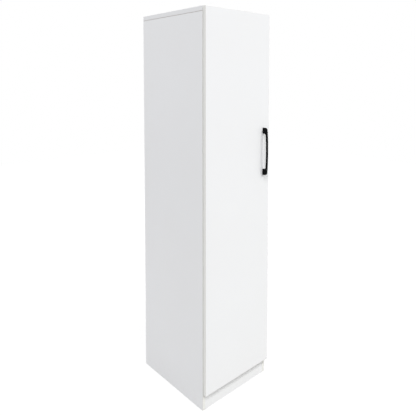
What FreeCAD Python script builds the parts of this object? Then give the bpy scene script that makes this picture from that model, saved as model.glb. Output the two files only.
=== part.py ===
# Broom cupboard: a tall flat-pack cupboard with one door, as a parametric FreeCAD document.
#
# Frame, in millimetres: +X to the right of someone facing the door, +Y from the door to the back,
# +Z up. The origin is on the floor, in the middle of the width and of the depth with the handle.
# The boards are joined by cams and dowels. The door hangs on the left side panel by concealed
# cup hinges: in each, one link turns on a pin in the arm and carries the door on a pin in the cup.
import FreeCAD
import Part

import math
import os
import re

import Sketcher

Vector = FreeCAD.Vector

os.makedirs("parts", exist_ok=True)
doc = FreeCAD.newDocument("BroomCupboard")

# ---------------------------------------------------------------- driving dimensions

SIZES = [
    ("overall_width", 450, "across the two side panels"),
    ("overall_height", 1950, "floor to the top of the top panel"),
    ("cupboard_depth", 510, "door front to the rear edges"),
    ("handle_projection", 32, "door front to the furthest point of the handle"),
    ("board_thickness", 16, "sides, bottom, shelf, plinth and rail"),
    ("top_thickness", 22, "top panel"),
    ("door_thickness", 18, "door"),
    ("door_gap", 3, "between the shut door and the carcass"),
    ("door_reveal", 1, "the carcass beyond the door, at the sides and the top"),
    ("door_clearance", 82, "floor to the bottom of the door"),
    ("band_thickness", 1, "edge banding"),
    ("plinth_height", 80, "plinth board"),
    ("plinth_recess", 1, "plinth behind the side panels' front edges"),
    ("shelf_height", 1480, "floor to the underside of the shelf"),
    ("shelf_setback", 2, "shelf behind the carcass front"),
    ("rail_height", 80, "rear fixing rail"),
    ("wall_screw_spacing", 300, "between the two wall screws"),
    ("wall_screw_hole", 5, "hole for a wall screw"),
    ("back_thickness", 3, "back panels"),
    ("back_inset", 12, "back panels in front of the rear edges"),
    ("back_split", 1010, "floor to the joint between the back panels"),
    ("groove_depth", 8, "groove that holds the back panels"),
    ("groove_width", 3.4, "groove that holds the back panels"),
    ("strip_height", 22, "joining strip between the back panels"),
    ("strip_wall", 1, "flanges and web of the joining strip"),
    ("back_slack", 0.5, "back panels short of the bottom of their grooves"),
    ("nail_diameter", 1.6, "nails of the back panels"),
    ("nail_length", 17, "nails of the back panels"),
    ("nail_head", 4, "nails of the back panels"),
    ("joint_groove", 1.3, "groove along the joint under the top panel, up and down"),
    ("joint_groove_depth", 3, "groove along the joint under the top panel, inwards"),
    ("band_arris", 0.4, "bevel under the top panel's side bands"),
    ("fit", 0.05, "clearance round a screw or dowel, and beside a captive board"),
    ("cam_inset", 60, "first and last cam from the ends of a joint"),
    ("dowel_inset", 100, "first and last dowel from the ends of a joint"),
    ("cam_distance", 34, "cam axis from the end of the board"),
    ("cam_bore", 15, "bore for a cam"),
    ("cam_bore_depth", 12.5, "bore for a cam"),
    ("cam_slot", 7, "slot across a cam for the bolt"),
    ("driver_slot", 1.6, "slot in a cam's face for a screwdriver"),
    ("cap_thickness", 1.2, "cover cap over a cam"),
    ("cap_overlap", 1.5, "cover cap beyond its cam, all round"),
    ("bolt_bore", 5, "bore for the thread of a cam bolt"),
    ("bolt_entry", 7.4, "bore for the shank of a cam bolt"),
    ("bolt_shank", 4.8, "shank of a cam bolt"),
    ("bolt_neck", 3.2, "neck behind the head of a cam bolt"),
    ("bolt_head", 6, "head of a cam bolt"),
    ("bore_depth", 11, "bolt and dowel bores into a face"),
    ("dowel_bore", 8, "bore for a dowel"),
    ("dowel_end_depth", 21, "dowel bore into an end"),
    ("hinge_inset", 100, "first and last hinge from the ends of the door"),
    ("cup_bore", 35, "bore for a hinge cup"),
    ("cup_bore_depth", 12, "bore for a hinge cup"),
    ("cup_edge", 4, "cup bore from the edge of the door"),
    ("cup_wall", 1.1, "wall of a hinge cup"),
    ("cup_depth", 11.5, "hinge cup below the door's inner face"),
    ("flange_thickness", 1.2, "flange of a hinge cup"),
    ("cup_screw_spacing", 45, "between the two screws of a cup"),
    ("cup_screw_offset", 9.5, "cup screws from the middle of the cup"),
    ("cup_screw", 3, "wood screw of a cup"),
    ("cup_screw_depth", 11.5, "hole in the door for a cup screw"),
    ("plate_setback", 37, "hinge plate screws behind the carcass front"),
    ("plate_screw_spacing", 32, "between the two screws of a plate"),
    ("plate_base", 2, "wings of a hinge plate"),
    ("plate_wing", 16, "wings of a hinge plate, front to back"),
    ("plate_length", 44, "hinge plate, front to back"),
    ("ridge_height", 7, "ridge of a hinge plate that the arm sits on"),
    ("ridge_width", 10, "ridge of a hinge plate that the arm sits on"),
    ("arm_height", 11, "arm over the side panel"),
    ("arm_wall", 1.2, "arm's web and cheeks"),
    ("arm_screw", 4, "screws of an arm"),
    ("arm_pin_inset", 22.5, "pin in the arm from the side panel's inner face"),
    ("arm_pin_setback", 3.5, "pin in the arm behind the carcass front"),
    ("cup_pin_edge", 13, "pin in the cup from the edge of the door"),
    ("cup_pin_depth", 4.5, "pin in the cup below the door's inner face"),
    ("link_bow", 7, "how far the link bows out of the line between its pins"),
    ("link_thickness", 1.5, "hinge link"),
    ("link_width", 12, "hinge link, along its pins"),
    ("pin_diameter", 2.6, "hinge pins"),
    ("pin_slack", 0.1, "a pin's bore over the pin"),
    ("eye_wall", 1, "link round its pins"),
    ("lug_thickness", 4.6, "lug in a cup, along the pin"),
    ("handle_pitch", 224, "between the two handle screws"),
    ("handle_length", 250, "handle, end to end"),
    ("handle_width", 9.5, "handle, across"),
    ("handle_bar", 8.5, "handle bar, front to back"),
    ("handle_bow", 5.8, "how far the bar bows forward between its ends"),
    ("handle_foot", 31.3, "foot of the handle, up and down"),
    ("handle_edge", 44, "handle from the door's right edge"),
    ("handle_middle", 1232.4, "floor to the middle of the handle"),
    ("handle_hole", 5, "hole in the door for a handle screw"),
    ("handle_thread", 4, "handle screw"),
    ("handle_thread_depth", 13, "hole in a handle's foot"),
    ("bumper_diameter", 9, "pads on the door's inner face"),
    ("bumper_inset", 60, "first and last pad from the ends of the door"),
]

sheet = doc.addObject("Spreadsheet::Sheet", "Sizes")
for row, (alias, value, note) in enumerate(SIZES, 1):
    sheet.set(f"A{row}", note)
    sheet.set(f"B{row}", str(value))
    sheet.setAlias(f"B{row}", alias)
doc.recompute()
ALIAS = re.compile(r"\b(" + "|".join(alias for alias, _, _ in SIZES) + r")\b")
HINGE_COUNT = 4


def size(alias):
    return float(sheet.get(alias))


def bind(item, prop, expression):
    """Ties a property to the sheet: the words in the expression are the sheet's aliases."""
    item.setExpression(prop, ALIAS.sub(r"Sizes.\1", expression))


# Planes and lengths that many pieces share, as expressions
DOOR_FRONT = "((handle_projection - cupboard_depth) / 2)"
DOOR_BACK = f"({DOOR_FRONT} + door_thickness)"
CARCASS_FRONT = f"({DOOR_BACK} + door_gap)"
REAR = "((handle_projection + cupboard_depth) / 2)"
BOARD_FRONT = f"({CARCASS_FRONT} + band_thickness)"
BACK_MIDDLE = f"({REAR} - back_inset - back_thickness / 2)"
INNER_REAR = f"({BACK_MIDDLE} - groove_width / 2)"
INSIDE = "(overall_width / 2 - board_thickness)"
INNER_WIDTH = "(overall_width - 2 * board_thickness)"
SIDE_HEIGHT = "(overall_height - top_thickness)"
DOOR_WIDTH = "(overall_width - 2 * door_reveal)"
DOOR_HEIGHT = "(overall_height - door_reveal - door_clearance)"
DOOR_LEFT = "(door_reveal - overall_width / 2)"
CUP_MIDDLE = f"({DOOR_LEFT} + cup_edge + cup_bore / 2)"
HANDLE_X = "(overall_width / 2 - door_reveal - handle_edge)"
HINGE_PITCH = f"(({DOOR_HEIGHT} - 2 * hinge_inset) / {HINGE_COUNT - 1})"
HINGE_HEIGHTS = [f"(door_clearance + hinge_inset + {n} * {HINGE_PITCH})" for n in range(HINGE_COUNT)]
CAM_DEPTHS = [f"({CARCASS_FRONT} + cam_inset)", f"({INNER_REAR} - cam_inset)"]
DOWEL_DEPTHS = [f"({CARCASS_FRONT} + dowel_inset)", f"({INNER_REAR} - dowel_inset)"]
PLINTH_FRONT = f"({CARCASS_FRONT} + plinth_recess)"
PLINTH_MIDDLE = f"({PLINTH_FRONT} + board_thickness / 2)"
PLINTH_CAM = "(plinth_height * 0.35)"
PLINTH_DOWEL = "(plinth_height * 0.7)"
RAIL_FRONT = f"({INNER_REAR} - board_thickness)"
RAIL_MIDDLE = f"({RAIL_FRONT} + board_thickness / 2)"
RAIL_FOOT = f"({SIDE_HEIGHT} - rail_height)"
RAIL_CAM = f"({SIDE_HEIGHT} - rail_height * 0.65)"
RAIL_DOWEL = f"({SIDE_HEIGHT} - rail_height * 0.3)"
WALL_SCREWS = [f"{half} * wall_screw_spacing / 2" for half in (-1, 1)]
BACK_WIDTH = f"({INNER_WIDTH} + 2 * groove_depth - 2 * back_slack)"
BACK_FRONT = f"({BACK_MIDDLE} - back_thickness / 2)"

# ---------------------------------------------------------------- helpers for sketches and bodies

# For each origin plane: the sign of its normal along the axis that it faces
FACING = {"XY_Plane": 1, "XZ_Plane": -1, "YZ_Plane": 1}


def new_body(name):
    body = doc.addObject("PartDesign::Body", name)
    body.Label = name
    return body


def new_sketch(body, name, plane, level="0"):
    """A sketch on one of the body's own planes, moved along the plane's axis to the level."""
    sketch = body.newObject("Sketcher::SketchObject", name)
    support = [f for f in body.Origin.OriginFeatures if f.Role == plane][0]
    sketch.AttachmentSupport = [(support, "")]
    sketch.MapMode = "FlatFace"
    bind(sketch, "AttachmentOffset.Base.z", f"{FACING[plane]} * ({level})")
    return sketch


def constrain(sketch, label, expression, *constraint):
    """Adds a constraint whose value is tied to the sheet."""
    index = sketch.addConstraint(Sketcher.Constraint(*constraint))
    sketch.renameConstraint(index, label)
    bind(sketch, f"Constraints.{label}", expression)


def add_loop(sketch, corners):
    """A closed loop of lines through the corners, each a pair of expressions."""
    start = sketch.GeometryCount
    count = len(corners)
    # the first guess is a round polygon, which the constraints pull into shape
    guesses = [
        Vector(10 * math.cos(2 * math.pi * n / count), 10 * math.sin(2 * math.pi * n / count), 0)
        for n in range(count)
    ]
    for n in range(count):
        sketch.addGeometry(Part.LineSegment(guesses[n], guesses[(n + 1) % count]))
    for n, (u, v) in enumerate(corners):
        line = start + n
        before = start + (n - 1) % count
        sketch.addConstraint(Sketcher.Constraint("Coincident", before, 2, line, 1))
        constrain(sketch, f"u{line}", u, "DistanceX", -1, 1, line, 1, guesses[n].x)
        constrain(sketch, f"v{line}", v, "DistanceY", -1, 1, line, 1, guesses[n].y)


def add_rectangle(sketch, low, high):
    add_loop(sketch, [(low[0], low[1]), (high[0], low[1]), (high[0], high[1]), (low[0], high[1])])


def add_circle(sketch, middle, diameter):
    circle = sketch.addGeometry(Part.Circle(Vector(1, 1, 0), Vector(0, 0, 1), 2))
    constrain(sketch, f"u{circle}", middle[0], "DistanceX", -1, 1, circle, 3, 1)
    constrain(sketch, f"v{circle}", middle[1], "DistanceY", -1, 1, circle, 3, 1)
    constrain(sketch, f"d{circle}", diameter, "Diameter", circle, 4)


def pad(body, sketch, length, towards=0):
    """Adds the sketch's outline to the body: towards +1 or -1 along the axis, or 0 to both sides."""
    feature = body.newObject("PartDesign::Pad", sketch.Name + "_pad")
    feature.Profile = sketch
    bind(feature, "Length", length)
    if towards:
        feature.Reversed = towards != plane_sign(sketch)
    else:
        feature.Midplane = True
    doc.recompute()
    return feature


def cut(body, sketch, depth, towards=0):
    """Cuts the sketch's outline out of the body, and makes sure that it took something away."""
    before = body.Shape.Volume
    feature = body.newObject("PartDesign::Pocket", sketch.Name + "_cut")
    feature.Profile = sketch
    bind(feature, "Length", depth)
    if towards:
        feature.Reversed = towards == plane_sign(sketch)
    else:
        feature.Midplane = True
    doc.recompute()
    if body.Shape.Volume > before - 1e-3:
        raise RuntimeError(f"{sketch.Name} cuts nothing out of {body.Label}")
    return feature


def plane_sign(sketch):
    return FACING[sketch.AttachmentSupport[0][0].Role]


def bores(body, name, plane, level, middles, diameter, depth, towards):
    sketch = new_sketch(body, name, plane, level)
    for middle in middles:
        add_circle(sketch, middle, diameter)
    cut(body, sketch, depth, towards)


def turned(name, profile):
    """A body turned about its X axis. The profile is pairs of (along X, radius)."""
    body = new_body(name)
    sketch = new_sketch(body, name + "_profile", "XY_Plane")
    ends = [(profile[0][0], "0")] + profile + [(profile[-1][0], "0")]
    add_loop(sketch, ends)
    feature = body.newObject("PartDesign::Revolution", name + "_turned")
    feature.Profile = sketch
    feature.ReferenceAxis = (sketch, ["H_Axis"])
    doc.recompute()
    return body


def edges_where(body, test):
    """The names of the edges whose middle and direction, in the body's own frame, pass the test."""
    shape = body.Shape.copy()
    shape.Placement = FreeCAD.Placement()
    names = []
    for number, edge in enumerate(shape.Edges, 1):
        middle = edge.valueAt((edge.FirstParameter + edge.LastParameter) / 2)
        along = edge.tangentAt((edge.FirstParameter + edge.LastParameter) / 2)
        if test(middle, along):
            names.append(f"Edge{number}")
    return names


def near(value, target):
    return abs(value - target) < 0.01


def dress(body, kind, names, amount):
    """A fillet or a chamfer on the named edges of the body as it is so far."""
    if not names:
        raise RuntimeError(f"no edge of {body.Label} to dress")
    base = body.Tip
    feature = body.newObject(f"PartDesign::{kind}", f"{body.Name}_{kind.lower()}{len(body.Group)}")
    feature.Base = (base, names)
    bind(feature, "Radius" if kind == "Fillet" else "Size", amount)
    doc.recompute()
    if "Invalid" in feature.State:
        raise RuntimeError(f"{kind} fails on {body.Label}")
    return feature


def place(item, x, y, z):
    bind(item, "Placement.Base.x", x)
    bind(item, "Placement.Base.y", y)
    bind(item, "Placement.Base.z", z)


def board(name, length, depth, height, corner):
    """A plain board with its low corner at its own origin, placed by that corner."""
    body = new_body(name)
    sketch = new_sketch(body, name + "_outline", "XY_Plane")
    add_rectangle(sketch, ("0", "0"), (length, depth))
    pad(body, sketch, height, 1)
    place(body, *corner)
    return body


def copies(name, master, places):
    """One node of separate, identical pieces: a linked copy of the master at each place."""
    links = []
    for number, (position, rotation) in enumerate(places, 1):
        link = doc.addObject("App::Link", f"{name}_{number}")
        link.LinkedObject = master
        link.Placement = FreeCAD.Placement(Vector(), rotation)
        place(link, *position)
        links.append(link)
    return group(name, links)


def group(name, members):
    node = doc.addObject("Part::Compound", name)
    node.Label = name
    node.Links = members
    return node


UNTURNED = FreeCAD.Rotation()
nodes = []

# ---------------------------------------------------------------- boards of the carcass


def side_panel(name, side):
    """A side panel. side is -1 for the left panel, whose inner face looks to +X, or 1."""
    corner_x = "(-overall_width / 2)" if side < 0 else INSIDE
    inner = "board_thickness" if side < 0 else "0"
    outward = side
    body = board(
        name,
        "board_thickness",
        f"{REAR} - {BOARD_FRONT}",
        SIDE_HEIGHT,
        (corner_x, BOARD_FRONT, "0"),
    )

    def at(depth):
        return f"{depth} - {BOARD_FRONT}"

    groove = new_sketch(body, name + "_back_groove", "YZ_Plane", inner)
    add_rectangle(
        groove,
        (at(INNER_REAR), "plinth_height"),
        (f"{at(INNER_REAR)} + groove_width", SIDE_HEIGHT),
    )
    cut(body, groove, "groove_depth", outward)
    levels = ("plinth_height + board_thickness / 2", "shelf_height + board_thickness / 2")
    bolts = [(at(y), z) for z in levels for y in CAM_DEPTHS]
    bolts.append((at(PLINTH_MIDDLE), PLINTH_CAM))
    bolts.append((at(RAIL_MIDDLE), RAIL_CAM))
    dowels = [(at(y), z) for z in levels for y in DOWEL_DEPTHS]
    dowels.append((at(PLINTH_MIDDLE), PLINTH_DOWEL))
    dowels.append((at(RAIL_MIDDLE), RAIL_DOWEL))
    bores(body, name + "_bolt_bores", "YZ_Plane", inner, bolts, "bolt_bore", "bore_depth", outward)
    bores(body, name + "_dowel_bores", "YZ_Plane", inner, dowels, "dowel_bore", "bore_depth", outward)
    top_cams = [(at(y), f"{SIDE_HEIGHT} - cam_distance") for y in CAM_DEPTHS]
    bores(body, name + "_cam_bores", "YZ_Plane", inner, top_cams, "cam_bore", "cam_bore_depth", outward)
    entries = [("board_thickness / 2", at(y)) for y in CAM_DEPTHS]
    bores(body, name + "_bolt_entries", "XY_Plane", SIDE_HEIGHT, entries, "bolt_entry", "cam_distance", -1)
    ends = [("board_thickness / 2", at(y)) for y in DOWEL_DEPTHS]
    bores(body, name + "_end_bores", "XY_Plane", SIDE_HEIGHT, ends, "dowel_bore", "dowel_end_depth", -1)
    if side < 0:
        screws = [
            (at(f"{CARCASS_FRONT} + plate_setback"), f"{z} + {half} * plate_screw_spacing / 2")
            for z in HINGE_HEIGHTS
            for half in (-1, 1)
        ]
        bores(body, name + "_plate_bores", "YZ_Plane", inner, screws, "bolt_bore", "bore_depth", outward)
    outer_face = "0" if side < 0 else "board_thickness"
    groove_back = "joint_groove_depth" if side < 0 else "board_thickness - joint_groove_depth"
    joint = new_sketch(body, name + "_joint_groove", "XY_Plane", SIDE_HEIGHT)
    add_rectangle(joint, (outer_face, "0"), (groove_back, at(REAR)))
    cut(body, joint, "joint_groove", -1)
    nodes.append(body)


side_panel("left_side_panel", -1)
side_panel("right_side_panel", 1)

top_panel = board(
    "top_panel",
    "overall_width - 2 * band_thickness",
    f"{REAR} - {BOARD_FRONT}",
    "top_thickness",
    ("band_thickness - overall_width / 2", BOARD_FRONT, SIDE_HEIGHT),
)
over_sides = [
    "board_thickness / 2 - band_thickness",
    "overall_width - board_thickness / 2 - band_thickness",
]
bores(
    top_panel,
    "top_bolt_bores",
    "XY_Plane",
    "0",
    [(x, f"{y} - {BOARD_FRONT}") for x in over_sides for y in CAM_DEPTHS],
    "bolt_bore",
    "bore_depth",
    1,
)
bores(
    top_panel,
    "top_dowel_bores",
    "XY_Plane",
    "0",
    [(x, f"{y} - {BOARD_FRONT}") for x in over_sides for y in DOWEL_DEPTHS],
    "dowel_bore",
    "bore_depth",
    1,
)
top_groove = new_sketch(top_panel, "top_back_groove", "XY_Plane")
add_rectangle(
    top_groove,
    ("board_thickness - groove_depth - band_thickness", f"{INNER_REAR} - {BOARD_FRONT}"),
    (
        "overall_width - board_thickness + groove_depth - band_thickness",
        f"{INNER_REAR} - {BOARD_FRONT} + groove_width",
    ),
)
cut(top_panel, top_groove, "groove_depth", 1)
nodes.append(top_panel)


def level_board(name, front, height):
    """The bottom panel or the shelf: a level board held between the side panels."""
    body = board(
        name,
        INNER_WIDTH,
        f"{INNER_REAR} - {front}",
        "board_thickness",
        (f"-{INSIDE}", front, height),
    )
    cams = [
        (x, f"{y} - {front}")
        for x in ("cam_distance", f"{INNER_WIDTH} - cam_distance")
        for y in CAM_DEPTHS
    ]
    bores(body, name + "_cam_bores", "XY_Plane", "0", cams, "cam_bore", "cam_bore_depth", 1)
    entries = [(f"{y} - {front}", "board_thickness / 2") for y in CAM_DEPTHS]
    ends = [(f"{y} - {front}", "board_thickness / 2") for y in DOWEL_DEPTHS]
    for end, level, inward in (("left", "0", 1), ("right", INNER_WIDTH, -1)):
        prefix = f"{name}_{end}"
        bores(body, prefix + "_entries", "YZ_Plane", level, entries, "bolt_entry", "cam_distance", inward)
        bores(body, prefix + "_ends", "YZ_Plane", level, ends, "dowel_bore", "dowel_end_depth", inward)
    nodes.append(body)


level_board("bottom_panel", BOARD_FRONT, "plinth_height")
level_board("shelf", f"({BOARD_FRONT} + shelf_setback)", "shelf_height")


def upright_board(name, front, foot, height, cam_level, dowel_level, opens):
    """The plinth or the rail: a board on edge between the side panels, its cams opening to Y."""
    body = board(name, INNER_WIDTH, "board_thickness", height, (f"-{INSIDE}", front, foot))
    cams = [(x, cam_level) for x in ("cam_distance", f"{INNER_WIDTH} - cam_distance")]
    face = "board_thickness" if opens > 0 else "0"
    bores(body, name + "_cam_bores", "XZ_Plane", face, cams, "cam_bore", "cam_bore_depth", -opens)
    for end, level, inward in (("left", "0", 1), ("right", INNER_WIDTH, -1)):
        prefix = f"{name}_{end}"
        entry = [("board_thickness / 2", cam_level)]
        bores(body, prefix + "_entry", "YZ_Plane", level, entry, "bolt_entry", "cam_distance", inward)
        dowel = [("board_thickness / 2", dowel_level)]
        bores(body, prefix + "_end", "YZ_Plane", level, dowel, "dowel_bore", "dowel_end_depth", inward)
    nodes.append(body)
    return body


upright_board("plinth_board", PLINTH_FRONT, "0", "plinth_height", PLINTH_CAM, PLINTH_DOWEL, 1)
rail = upright_board(
    "rear_fixing_rail",
    RAIL_FRONT,
    RAIL_FOOT,
    "rail_height",
    f"{RAIL_CAM} - {RAIL_FOOT}",
    f"{RAIL_DOWEL} - {RAIL_FOOT}",
    -1,
)
bores(
    rail,
    "rail_wall_holes",
    "XZ_Plane",
    "board_thickness",
    [(f"{INNER_WIDTH} / 2 + {x}", "rail_height / 2") for x in WALL_SCREWS],
    "wall_screw_hole",
    "board_thickness",
    -1,
)

# ---------------------------------------------------------------- back

STRIP_WEB = "(strip_wall / 2)"
UPPER_FOOT = f"(back_split + {STRIP_WEB})"

board(
    "back_panel_lower",
    BACK_WIDTH,
    "back_thickness",
    f"back_split - {STRIP_WEB} - plinth_height",
    (f"-{BACK_WIDTH} / 2", BACK_FRONT, "plinth_height"),
)
nodes.append(doc.getObject("back_panel_lower"))
back_upper = board(
    "back_panel_upper",
    BACK_WIDTH,
    "back_thickness",
    f"{SIDE_HEIGHT} + groove_depth - back_slack - {UPPER_FOOT}",
    (f"-{BACK_WIDTH} / 2", BACK_FRONT, UPPER_FOOT),
)
bores(
    back_upper,
    "back_wall_holes",
    "XZ_Plane",
    "back_thickness",
    [(f"{BACK_WIDTH} / 2 + {x}", f"{RAIL_FOOT} + rail_height / 2 - {UPPER_FOOT}") for x in WALL_SCREWS],
    "wall_screw_hole",
    "back_thickness",
    -1,
)
nodes.append(back_upper)

strip = new_body("back_joining_strip")
strip_outline = new_sketch(strip, "strip_outline", "YZ_Plane")
STRIP_OUT = "(groove_width / 2 + strip_wall)"
STRIP_IN = "(back_thickness / 2 + fit)"
add_loop(
    strip_outline,
    [
        (f"-{STRIP_OUT}", "-strip_height / 2"),
        (f"-{STRIP_IN}", "-strip_height / 2"),
        (f"-{STRIP_IN}", f"-{STRIP_WEB}"),
        (STRIP_IN, f"-{STRIP_WEB}"),
        (STRIP_IN, "-strip_height / 2"),
        (STRIP_OUT, "-strip_height / 2"),
        (STRIP_OUT, "strip_height / 2"),
        (STRIP_IN, "strip_height / 2"),
        (STRIP_IN, STRIP_WEB),
        (f"-{STRIP_IN}", STRIP_WEB),
        (f"-{STRIP_IN}", "strip_height / 2"),
        (f"-{STRIP_OUT}", "strip_height / 2"),
    ],
)
pad(strip, strip_outline, f"{INNER_WIDTH} - 2 * back_slack")
place(strip, "0", BACK_MIDDLE, "back_split")
nodes.append(strip)

# ---------------------------------------------------------------- edge banding

SIDE_LEFTS = {"left": "-overall_width / 2", "right": INSIDE}
bands = [
    board(
        f"{side}_side_band",
        "board_thickness",
        "band_thickness",
        SIDE_HEIGHT,
        (left, CARCASS_FRONT, "0"),
    )
    for side, left in SIDE_LEFTS.items()
]
for name, setback, height in (
    ("bottom_panel_band", "0", "plinth_height"),
    ("shelf_band", "shelf_setback", "shelf_height"),
):
    bands.append(
        board(
            name,
            INNER_WIDTH,
            "band_thickness",
            "board_thickness",
            (f"-{INSIDE}", f"{CARCASS_FRONT} + {setback}", height),
        )
    )
nodes.append(group("carcass_edge_bands", bands))

top_band = new_body("top_edge_band")
top_band_outline = new_sketch(top_band, "top_band_outline", "XY_Plane")
add_loop(
    top_band_outline,
    [
        ("-overall_width / 2", CARCASS_FRONT),
        ("overall_width / 2", CARCASS_FRONT),
        ("overall_width / 2", REAR),
        ("overall_width / 2 - band_thickness", REAR),
        ("overall_width / 2 - band_thickness", BOARD_FRONT),
        ("band_thickness - overall_width / 2", BOARD_FRONT),
        ("band_thickness - overall_width / 2", REAR),
        ("-overall_width / 2", REAR),
    ],
)
pad(top_band, top_band_outline, "top_thickness", 1)
place(top_band, "0", "0", SIDE_HEIGHT)
half_width = size("overall_width") / 2
under_joint = edges_where(
    top_band,
    lambda middle, along: abs(along.y) > 0.99
    and near(abs(middle.x), half_width)
    and near(middle.z, 0),
)
dress(top_band, "Chamfer", under_joint, "band_arris")
nodes.append(top_band)

# ---------------------------------------------------------------- cams, bolts and dowels

# A joint's own frame has +X from one board's face into the other board's end, and the cam opens
# to -Z. The bolt and the dowel lie on X, in the middle of the board.
bolt = turned(
    "cam_bolt",
    [
        ("0.5 - bore_depth", "bolt_bore / 2 - fit"),
        ("0", "bolt_bore / 2 - fit"),
        ("0", "bolt_entry / 2 - 0.2"),
        ("1.5", "bolt_entry / 2 - 0.2"),
        ("1.5", "bolt_shank / 2"),
        ("cam_distance - 5", "bolt_shank / 2"),
        ("cam_distance - 5", "bolt_neck / 2"),
        ("cam_distance - 2", "bolt_neck / 2"),
        ("cam_distance - 2", "bolt_head / 2"),
        ("cam_distance + 1", "bolt_head / 2"),
    ],
)
cam = new_body("cam_lock")
cam_outline = new_sketch(cam, "cam_outline", "XY_Plane", "-board_thickness / 2")
add_circle(cam_outline, ("cam_distance", "0"), "cam_bore - 4 * fit")
pad(cam, cam_outline, "cam_bore_depth - 4 * fit", 1)
cam_slot = new_sketch(cam, "cam_slot", "XY_Plane")
add_rectangle(
    cam_slot,
    ("cam_distance - cam_bore", "-cam_slot / 2"),
    ("cam_distance + cam_bore / 6", "cam_slot / 2"),
)
cut(cam, cam_slot, "cam_slot")
screwdriver_slot = new_sketch(cam, "cam_driver_slot", "XY_Plane", "-board_thickness / 2")
add_rectangle(
    screwdriver_slot,
    ("cam_distance - cam_bore * 0.3", "-driver_slot / 2"),
    ("cam_distance + cam_bore * 0.3", "driver_slot / 2"),
)
cut(cam, screwdriver_slot, "2", 1)
cap = new_body("cam_cap")
cap_outline = new_sketch(cap, "cap_outline", "XY_Plane", "-board_thickness / 2")
add_circle(cap_outline, ("cam_distance", "0"), "cam_bore + 2 * cap_overlap")
pad(cap, cap_outline, "cap_thickness", -1)
cap_face = -size("board_thickness") / 2 - size("cap_thickness")
cap_rim = edges_where(cap, lambda middle, along: near(middle.z, cap_face))
dress(cap, "Fillet", cap_rim, "cap_thickness * 2 / 3")
dowel = turned(
    "dowel",
    [
        ("0.5 - bore_depth", "dowel_bore / 2 - 1"),
        ("1.5 - bore_depth", "dowel_bore / 2 - fit"),
        ("dowel_end_depth - 2", "dowel_bore / 2 - fit"),
        ("dowel_end_depth - 1", "dowel_bore / 2 - 1"),
    ],
)


def joint_turn(along, opening):
    """The rotation that turns a joint's own +X to along, and its opening, -Z, to opening."""
    return FreeCAD.Rotation(Vector(*along), Vector(), -Vector(*opening), "XZY")


cam_places = []
dowel_places = []
for side in (-1, 1):
    face = f"{side} * {INSIDE}"
    level_turn = joint_turn((-side, 0, 0), (0, 0, -1))
    for level in ("plinth_height", "shelf_height"):
        middle = f"{level} + board_thickness / 2"
        cam_places += [((face, y, middle), level_turn) for y in CAM_DEPTHS]
        dowel_places += [((face, y, middle), level_turn) for y in DOWEL_DEPTHS]
    plinth_turn = joint_turn((-side, 0, 0), (0, 1, 0))
    cam_places.append(((face, PLINTH_MIDDLE, PLINTH_CAM), plinth_turn))
    dowel_places.append(((face, PLINTH_MIDDLE, PLINTH_DOWEL), plinth_turn))
    rail_turn = joint_turn((-side, 0, 0), (0, -1, 0))
    cam_places.append(((face, RAIL_MIDDLE, RAIL_CAM), rail_turn))
    dowel_places.append(((face, RAIL_MIDDLE, RAIL_DOWEL), rail_turn))
    top_turn = joint_turn((0, 0, -1), (-side, 0, 0))
    over = f"{side} * (overall_width / 2 - board_thickness / 2)"
    cam_places += [((over, y, SIDE_HEIGHT), top_turn) for y in CAM_DEPTHS]
    dowel_places += [((over, y, SIDE_HEIGHT), top_turn) for y in DOWEL_DEPTHS]
nodes.append(copies("cam_bolts", bolt, cam_places))
nodes.append(copies("cam_locks", cam, cam_places))
nodes.append(copies("cam_cover_caps", cap, cam_places))
nodes.append(copies("joint_dowels", dowel, dowel_places))

# ---------------------------------------------------------------- nails of the back

# A nail's own frame has +X out of the back, from the end of the straight wire to the head.
nail = turned(
    "back_nail",
    [
        ("-1", "nail_diameter / 5"),
        ("0", "nail_diameter / 2"),
        ("nail_length", "nail_diameter / 2"),
        ("nail_length", "nail_head / 2"),
        ("nail_length + 0.6", "nail_head / 2"),
    ],
)
X_TO_BACK = FreeCAD.Rotation(Vector(0, 0, 1), 90)
nail_row = [f"{step} * {INNER_WIDTH} / 8" for step in (-3, -1, 1, 3)]
nail_start = f"{BACK_FRONT} + back_thickness - nail_length"
nail_places = [
    ((x, nail_start, f"{level} + board_thickness / 2"), X_TO_BACK)
    for level in ("plinth_height", "shelf_height")
    for x in nail_row
]
nodes.append(copies("back_nails", nail, nail_places))

# ---------------------------------------------------------------- hinges, the carcass side

# A hinge's own frame is at the inner front corner of the left side panel, at the hinge's height:
# +X into the cupboard, +Y to the back.
HINGE_PLACES = [((f"-{INSIDE}", CARCASS_FRONT, z), UNTURNED) for z in HINGE_HEIGHTS]
CUP_PIN = ("(door_reveal + cup_pin_edge - board_thickness)", "(-door_gap - cup_pin_depth)")
ARM_PIN = ("arm_pin_inset", "arm_pin_setback")
PIN_BORE = "pin_diameter + pin_slack"

plate = new_body("hinge_plate")
PLATE_FRONT = "plate_setback - plate_length / 2"
PLATE_REAR = "plate_setback + plate_length / 2"
WING_FRONT = "plate_setback - plate_wing / 2"
WING_REAR = "plate_setback + plate_wing / 2"
WING_TOP = "(plate_screw_spacing / 2 + 7)"
PLATE_TOP = "(ridge_width / 2 + 1)"
plate_outline = new_sketch(plate, "plate_outline", "YZ_Plane")
add_loop(
    plate_outline,
    [
        (PLATE_FRONT, f"-{PLATE_TOP}"),
        (WING_FRONT, f"-{PLATE_TOP}"),
        (WING_FRONT, f"-{WING_TOP}"),
        (WING_REAR, f"-{WING_TOP}"),
        (WING_REAR, f"-{PLATE_TOP}"),
        (PLATE_REAR, f"-{PLATE_TOP}"),
        (PLATE_REAR, PLATE_TOP),
        (WING_REAR, PLATE_TOP),
        (WING_REAR, WING_TOP),
        (WING_FRONT, WING_TOP),
        (WING_FRONT, PLATE_TOP),
        (PLATE_FRONT, PLATE_TOP),
    ],
)
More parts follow.
